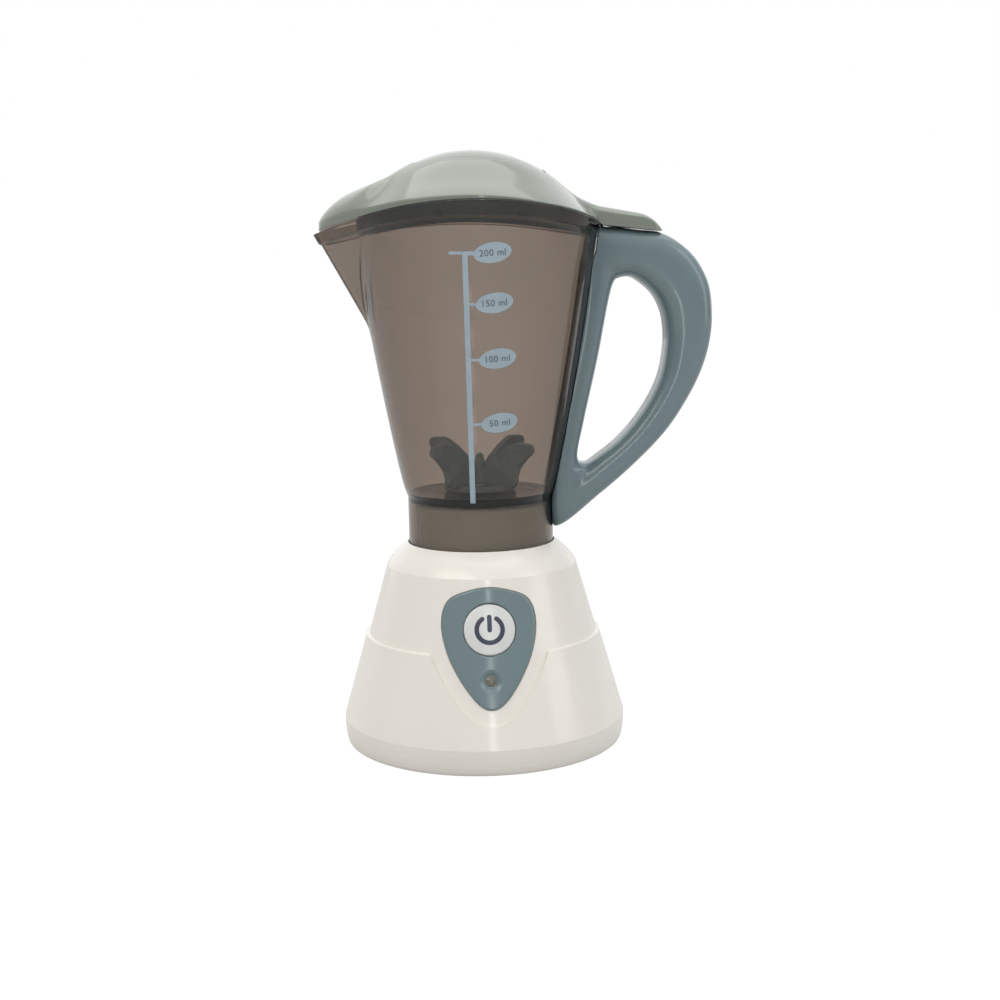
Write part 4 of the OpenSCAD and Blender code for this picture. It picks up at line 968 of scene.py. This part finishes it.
class ToyBlenderColours(bpy.types.PropertyGroup):
    """Colours of the finishes, as sRGB hex codes."""

    white: colour("White", "Base housing and bottom cover", "#ebe8e1")
    grey_blue: colour("Grey-blue", "Handle and control panel", "#6f8287")
    # Painted reflection: the lid's colour is lighter than the handle's grey-blue for the veil of overhead
    # light on the lid and its cap.
    lid: colour("Lid", "Lid and its cap", "#80887f")
    # Painted shade: the skirt's colour is darker and bluer than the lid's for the shade that falls on it
    # inside the jug.
    skirt: colour("Lid skirt", "Lid's skirt, in the jug", "#587681")
    smoke_density: bpy.props.FloatProperty(
        name="Smoke density", description="How fast the jug's plastic takes up light, per metre",
        default=480.0)
    smoke_passed: bpy.props.FloatVectorProperty(
        name="Smoke colour", description="Light that the dye lets through", default=(0.231, 0.11, 0.0))
    button: colour("Button", "Start button", "#d6d9d8")
    impeller: colour("Impeller", "Impeller in the jug", "#8ea6b3")
    print_colour: colour("Scale print", "Upright line and ovals of the scale", "#9fb0bd")
    text: colour("Numbers", "Numbers of the scale", "#5d666d")
    symbol: colour("Start symbol", "Print on the start button", "#363d52")


# ---- Operators, one for each piece or group of like pieces ----


class BuildOperator(bpy.types.Operator):
    """What the operators share."""

    bl_options = {"REGISTER", "UNDO"}

    def execute(self, context):
        self.build(context.scene.toy_blender_sizes)
        return {"FINISHED"}


class TOYBLENDER_OT_base(BuildOperator):
    """Finishes the base housing, the bottom cover with its battery door, and the jug's seat"""

    bl_idname = "toyblender.base"
    bl_label = "Base"

    def build(self, sizes):
        dress(["base_housing"], "moulded_gloss_white_abs")
        dress(["jug_seat"], "moulded_pale_seat_abs")
        dress(["bottom_cover", "battery_door"], "moulded_satin_white_abs")


class TOYBLENDER_OT_panel(BuildOperator):
    """Makes the control panel with its rounded edge and dimple, and finishes the indicator"""

    bl_idname = "toyblender.panel"
    bl_label = "Control panel"

    def build(self, sizes):
        mesh = ring_mesh("panel_moulding", panel_grid())
        material = finish("moulded_gloss_grey_blue_abs")
        panel = new_object("panel_moulding", mesh, "base", material)
        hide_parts("control_panel")
        dress(["indicator_led"], "cast_lamp_epoxy")


class TOYBLENDER_OT_button(BuildOperator):
    """Makes the start button and the symbol printed on it"""

    bl_idname = "toyblender.button"
    bl_label = "Start button"

    def build(self, sizes):
        mesh = ring_mesh("button_moulding", button_grid(), close=False)
        material = finish("moulded_gloss_pale_abs")
        button = new_object("button_moulding", mesh, "button", material)
        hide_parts("power_button")
        radius, half_w = sizes.symbol_r / MM, sizes.symbol_w / MM / 2
        open_half = np.radians(33)
        turn = np.linspace(np.pi / 2 + open_half, np.pi * 2.5 - open_half, 90)
        ring = radius * np.stack([np.cos(turn), np.sin(turn)], 1)
        bar = np.stack([np.zeros(12), np.linspace(-0.15, 4.55, 12)], 1)
        grids = [stroke(p, half_w, on_button, 0.05, -0.1) for p in (ring, bar)]
        mesh = slab_mesh("start_symbol", grids)
        new_object("start_symbol", mesh, "button", finish("printed_navy_ink"))


class TOYBLENDER_OT_jug(BuildOperator):
    """Makes the smoky jug with its lip, band and collar"""

    bl_idname = "toyblender.jug"
    bl_label = "Jug"

    def build(self, sizes):
        mesh = ring_mesh("jug_moulding", jug_grid())
        jug = new_object("jug_moulding", mesh, "jug", finish("moulded_smoky_san"))
        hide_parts("jug_body")
        dress(["blade_bush"], "turned_acetal")
        dress(["blade_seal"], "moulded_seal_rubber")


class TOYBLENDER_OT_scale(BuildOperator):
    """Prints the scale on the jug: an upright line, ticks, and an oval with a number at each mark"""

    bl_idname = "toyblender.scale"
    bl_label = "Printed scale"

    def build(self, sizes):
        stem = sizes.stem_at / MM
        half_w, half_h = sizes.oval_w / MM / 2, sizes.oval_h / MM / 2
        tilt = sizes.oval_tilt
        film = (on_jug, 0.06, -0.04)
        top = SCALE_MARKS[0][0]
        z = np.linspace(SCALE_FOOT_Z, top + 0.4, 60)
        drift = stem + SCALE_LEAN * (top - z)
        grids = [stroke(np.stack([drift, z], 1), sizes.stem_w / MM / 2, *film, blunt=True)]
        grids.append(stroke([[stem - 5.2, top + 0.1], [stem - 2, top], [stem + 3, top]], 0.5, *film))
        for height, at, _ in SCALE_MARKS:
            grids.append(oval((at, height), half_w, half_h, tilt, on_jug, 0.065, -0.04))
            start = stem + SCALE_LEAN * (top - height)
            end = at - half_w
            line = [[start, height - 0.4], [(start + end) / 2, height - 0.4], [end + 1, height - 0.4]]
            grids.append(stroke(line, 0.45, *film))
        mesh = slab_mesh("scale_print", grids)
        new_object("scale_print", mesh, "jug", finish("printed_grey_blue_ink"))
        for height, at, text in SCALE_MARKS:
            name = "scale_number_" + text.split()[0]
            mesh = text_mesh(name, text, sizes.digit_h / MM, (at, height), tilt * 0.4, on_jug, 0.11)
            new_object(name, mesh, "jug", finish("printed_dark_grey_ink"))


class TOYBLENDER_OT_handle(BuildOperator):
    """Makes the handle's two shells, with the recesses of its screws in the back one"""

    bl_idname = "toyblender.handle"
    bl_label = "Handle"

    def build(self, sizes):
        back = HANDLE_T / 2
        for name, side in (("front", -1), ("back", 1)):
            mesh = ring_mesh("handle_shell_" + name, handle_grid(side))
            if side > 0:
                for x, z in HANDLE_SCREWS:
                    post = cylinder_y(x, z, 0.6, back - 1, SCREW_HEAD_R + 1.3)
                    recess = cylinder_y(x, z, back - 3, HANDLE_T, SCREW_HEAD_R + 0.3)
                    bore = cylinder_y(x, z, -5, HANDLE_T, SCREW_R + 0.2)
                    mesh = joined(mesh, post, "UNION")
                    mesh = joined(mesh, recess, "DIFFERENCE")
                    mesh = joined(mesh, bore, "DIFFERENCE")
                smooth_shade(mesh, 40)
            material = finish("moulded_gloss_grey_blue_abs")
            shell = new_object("handle_shell_" + name, mesh, "jug", material)
            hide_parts("handle_" + name)


class TOYBLENDER_OT_lid(BuildOperator):
    """Makes the lid with its dome, beak and tab, and the cap in its middle"""

    bl_idname = "toyblender.lid"
    bl_label = "Lid"

    def build(self, sizes):
        # The lid and its cap take a colour with painted reflection in it.
        material = finish("moulded_high_gloss_lid_abs")
        mesh = ring_mesh("lid_moulding", lid_grid())
        shell = new_object("lid_moulding", mesh, "lid", material)
        # The skirt's faces below the rim take a second material whose darker, bluer colour is painted shade.
        shell.data.materials.append(finish("moulded_shaded_skirt_abs"))
        centre = np.zeros(len(shell.data.polygons) * 3, np.float32)
        shell.data.polygons.foreach_get("center", centre)
        x, y, z = centre.reshape(-1, 3).T / MM
        skirt = (z < arch_z(x) + LID_GAP - 0.05) & (np.hypot(x, y) < RIM_R)
        shell.data.polygons.foreach_set("material_index", skirt.astype(np.int32))
        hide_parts("lid_shell")
        mesh = ring_mesh("lid_cap_moulding", lathe(cap_profile()) + [DOME_X, 0, 0], close=False)
        cap = new_object("lid_cap_moulding", mesh, "lid", material)
        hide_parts("lid_cap")


class TOYBLENDER_OT_drive(BuildOperator):
    """Finishes the impeller and everything that turns or drives it"""

    bl_idname = "toyblender.drive"
    bl_label = "Impeller and drive"

    def build(self, sizes):
        dress(["impeller"], "moulded_grey_blue_impeller_abs")
        dress(["drive_dog", "blade_dog", "motor_end_cap", "motor_clamp", "switch_body", "switch_plunger"],
              "moulded_black_nylon")
        dress(["motor_can", "motor_shaft", "blade_spindle", "battery_contacts"], "drawn_steel")


class TOYBLENDER_OT_insides(BuildOperator):
    """Finishes the circuit board, the cells, the wires and the screws"""

    bl_idname = "toyblender.insides"
    bl_label = "Insides and screws"

    def build(self, sizes):
        dress(["circuit_board"], "glass_laminate_board")
        dress(["batteries"], "shrunk_cell_jacket")
        dress(["wires_red"], "extruded_red_wire_pvc")
        dress(["wires_black"], "extruded_black_wire_pvc")
        dress(["housing_screws", "seat_screws", "clamp_screws", "board_screws", "door_screw", "handle_screws"],
              "plated_screw_steel")


# Fitted to the photo: the camera's turns and lens, how strongly the paper glows for each kind of ray,
# and the room's brightness low down, overhead and behind the toy.
VIEW_X = -31.0
VIEW_HEADING = np.radians(-4.04)
VIEW_TILT = np.radians(90 - 8.64)
VIEW_ROLL = np.radians(-1.0)
VIEW_LENS = 52.2
GLOW_SEEN = 0.7
GLOW_MIRRORED = 0.35
ROOM_LOW = 0.28
ROOM_OVERHEAD = 1.05
ROOM_BEHIND = 1.2


def studio_floor():
    """Seamless white paper: it takes the object's soft shadow, and a lit part of it keeps the
    background white for the eye, in reflections and through clear walls."""
    material, tree = blank("seamless_white_paper")
    place = add(tree, "TexCoord").outputs["Object"]
    fibre = add(tree, "TexNoise", {"Scale": 1 / (40 * MM), "Detail": 3.0, "Vector": place})
    ramp = add(tree, "ValToRGB", {"Fac": fibre.outputs["Fac"]})
    stops(ramp, tone("#b4b4b3", 0.99), tone("#b7b7b6", 1.0))
    paper = add(tree, "BsdfDiffuse", {"Color": ramp.outputs["Color"]})
    glow = add(tree, "Emission", {"Color": (1, 1, 1, 1), "Strength": 1.3})
    path = add(tree, "LightPath").outputs
    seen = add(tree, "Math", {0: path["Is Camera Ray"], 1: path["Is Transmission Ray"]},
               operation="MAXIMUM")
    direct = add(tree, "Math", {0: seen.outputs["Value"], 1: GLOW_SEEN}, operation="MULTIPLY")
    mirrored = add(tree, "Math", {0: path["Is Glossy Ray"], 1: GLOW_MIRRORED}, operation="MULTIPLY")
    share = add(tree, "Math", {0: direct.outputs["Value"], 1: mirrored.outputs["Value"]},
                operation="MAXIMUM")
    both = add(tree, "MixShader",
               {0: share.outputs["Value"], 1: paper.outputs["BSDF"], 2: glow.outputs["Emission"]})
    add(tree, "OutputMaterial", {"Surface": both.outputs["Shader"]})
    return material


def soft_lamp(name, place, size, power, colour="#ffffff"):
    """A square soft box that faces the jug."""
    lamp = bpy.data.lights.new(name, "AREA")
    lamp.shape = "RECTANGLE"
    lamp.size, lamp.size_y = size
    lamp.energy = power
    lamp.color = linear(colour)[:3]
    obj = linked(name, lamp)
    obj.location = place
    obj.rotation_euler = (Vector((0, 0, 0.12)) - Vector(place)).to_track_quat("-Z", "Y").to_euler()


class TOYBLENDER_OT_stage(BuildOperator):
    """Makes the floor, the lamps, the surroundings and the camera"""

    bl_idname = "toyblender.stage"
    bl_label = "Stage"

    def build(self, sizes):
        scene = bpy.context.scene
        scene.view_settings.view_transform = "Standard"
        turn = np.linspace(0, 2 * np.pi, 64, endpoint=False)
        r = np.array([0.001, 0.4, 1.2, 3.0, 6.0])[:, None]
        rings = xyz(r * np.cos(turn), r * np.sin(turn), 0 * r)
        points = rings.reshape(-1, 3)
        faces = grid_faces(*rings.shape[:2]).tolist()
        mesh = bpy.data.meshes.new("paper_floor")
        mesh.from_pydata(points.tolist(), [], faces + [list(range(64))])
        floor = linked("paper_floor", mesh)
        mesh.materials.append(studio_floor())

        soft_lamp("key_soft_box", (-0.5, -0.5, 0.75), (0.7, 0.5), 2.5, "#fff8ee")
        soft_lamp("fill_soft_box", (0.75, -0.35, 0.45), (0.35, 0.7), 1.3, "#fdfbf6")
        soft_lamp("front_strip_box", (0.045, -0.8, 0.3), (0.06, 0.5), 0.42)
        soft_lamp("top_soft_box", (0.05, 0.12, 0.85), (0.95, 0.75), 2.0)

        world = bpy.data.worlds.new("white_room")
        world.use_nodes = True
        tree = world.node_tree
        tree.nodes.clear()
        path = add(tree, "LightPath").outputs
        seen = add(tree, "Math", {0: path["Is Camera Ray"], 1: path["Is Transmission Ray"]},
                   operation="MAXIMUM")
        way = add(tree, "TexCoord").outputs["Generated"]
        axes = add(tree, "SeparateXYZ", {"Vector": way})
        rise = []
        for axis, low, high, most in (("Z", 0.0, 1.0, ROOM_OVERHEAD), ("Y", 0.2, 0.8, ROOM_BEHIND)):
            made = add(tree, "MapRange", {"From Min": low, "From Max": high, "To Min": ROOM_LOW,
                                          "To Max": most, "Value": axes.outputs[axis]})
            rise.append(made.outputs["Result"])
        level = add(tree, "Math", dict(enumerate(rise)), operation="MAXIMUM")
        room = add(tree, "Background", {"Color": linear("#ffffff"), "Strength": level.outputs["Value"]})
        white = add(tree, "Background", {"Color": linear("#ffffff"), "Strength": 1.0})
        both = add(tree, "MixShader",
                   {0: seen.outputs["Value"], 1: room.outputs["Background"], 2: white.outputs["Background"]})
        add(tree, "OutputWorld", {"Surface": both.outputs["Shader"]})
        scene.world = world

        camera = bpy.data.cameras.new("photo_view")
        camera.lens = VIEW_LENS
        camera.sensor_width = 36.0
        camera.clip_start = 0.01
        camera.dof.use_dof = False
        obj = linked("photo_view", camera)
        heading = Matrix.Rotation(VIEW_HEADING, 4, "Z")
        tilt = Matrix.Rotation(VIEW_TILT, 4, "X")
        roll = Matrix.Rotation(VIEW_ROLL, 4, "Z")
        place = Matrix.Translation((VIEW_X * MM, -sizes.view_from, sizes.view_z))
        obj.matrix_world = place @ heading @ tilt @ roll
        scene.camera = obj


STEPS = (
    TOYBLENDER_OT_stage, TOYBLENDER_OT_base, TOYBLENDER_OT_panel, TOYBLENDER_OT_button, TOYBLENDER_OT_jug,
    TOYBLENDER_OT_scale, TOYBLENDER_OT_handle, TOYBLENDER_OT_lid, TOYBLENDER_OT_drive, TOYBLENDER_OT_insides)


class TOYBLENDER_PT_sidebar(bpy.types.Panel):
    """Lists the steps and the values that they read"""

    bl_idname = "TOYBLENDER_PT_sidebar"
    bl_label = "Toy Blender"
    bl_space_type = "VIEW_3D"
    bl_region_type = "UI"
    bl_category = "Toy Blender"

    def draw(self, context):
        for group in (context.scene.toy_blender_sizes, context.scene.toy_blender_colours):
            for key in group.__annotations__:
                self.layout.prop(group, key)
        for step in STEPS:
            self.layout.operator(step.bl_idname)


CLASSES = (ToyBlenderSizes, ToyBlenderColours) + STEPS + (TOYBLENDER_PT_sidebar,)


def register():
    for cls in CLASSES:
        bpy.utils.register_class(cls)
    bpy.types.Scene.toy_blender_sizes = bpy.props.PointerProperty(type=ToyBlenderSizes)
    bpy.types.Scene.toy_blender_colours = bpy.props.PointerProperty(type=ToyBlenderColours)


def unregister():
    del bpy.types.Scene.toy_blender_sizes
    del bpy.types.Scene.toy_blender_colours
    for cls in reversed(CLASSES):
        bpy.utils.unregister_class(cls)


def main():
    register()
    bpy.ops.toyblender.stage()
    bpy.ops.toyblender.base()
    bpy.ops.toyblender.panel()
    bpy.ops.toyblender.button()
    bpy.ops.toyblender.jug()
    bpy.ops.toyblender.scale()
    bpy.ops.toyblender.handle()
    bpy.ops.toyblender.lid()
    bpy.ops.toyblender.drive()
    bpy.ops.toyblender.insides()


if __name__ == "__main__":
    main()
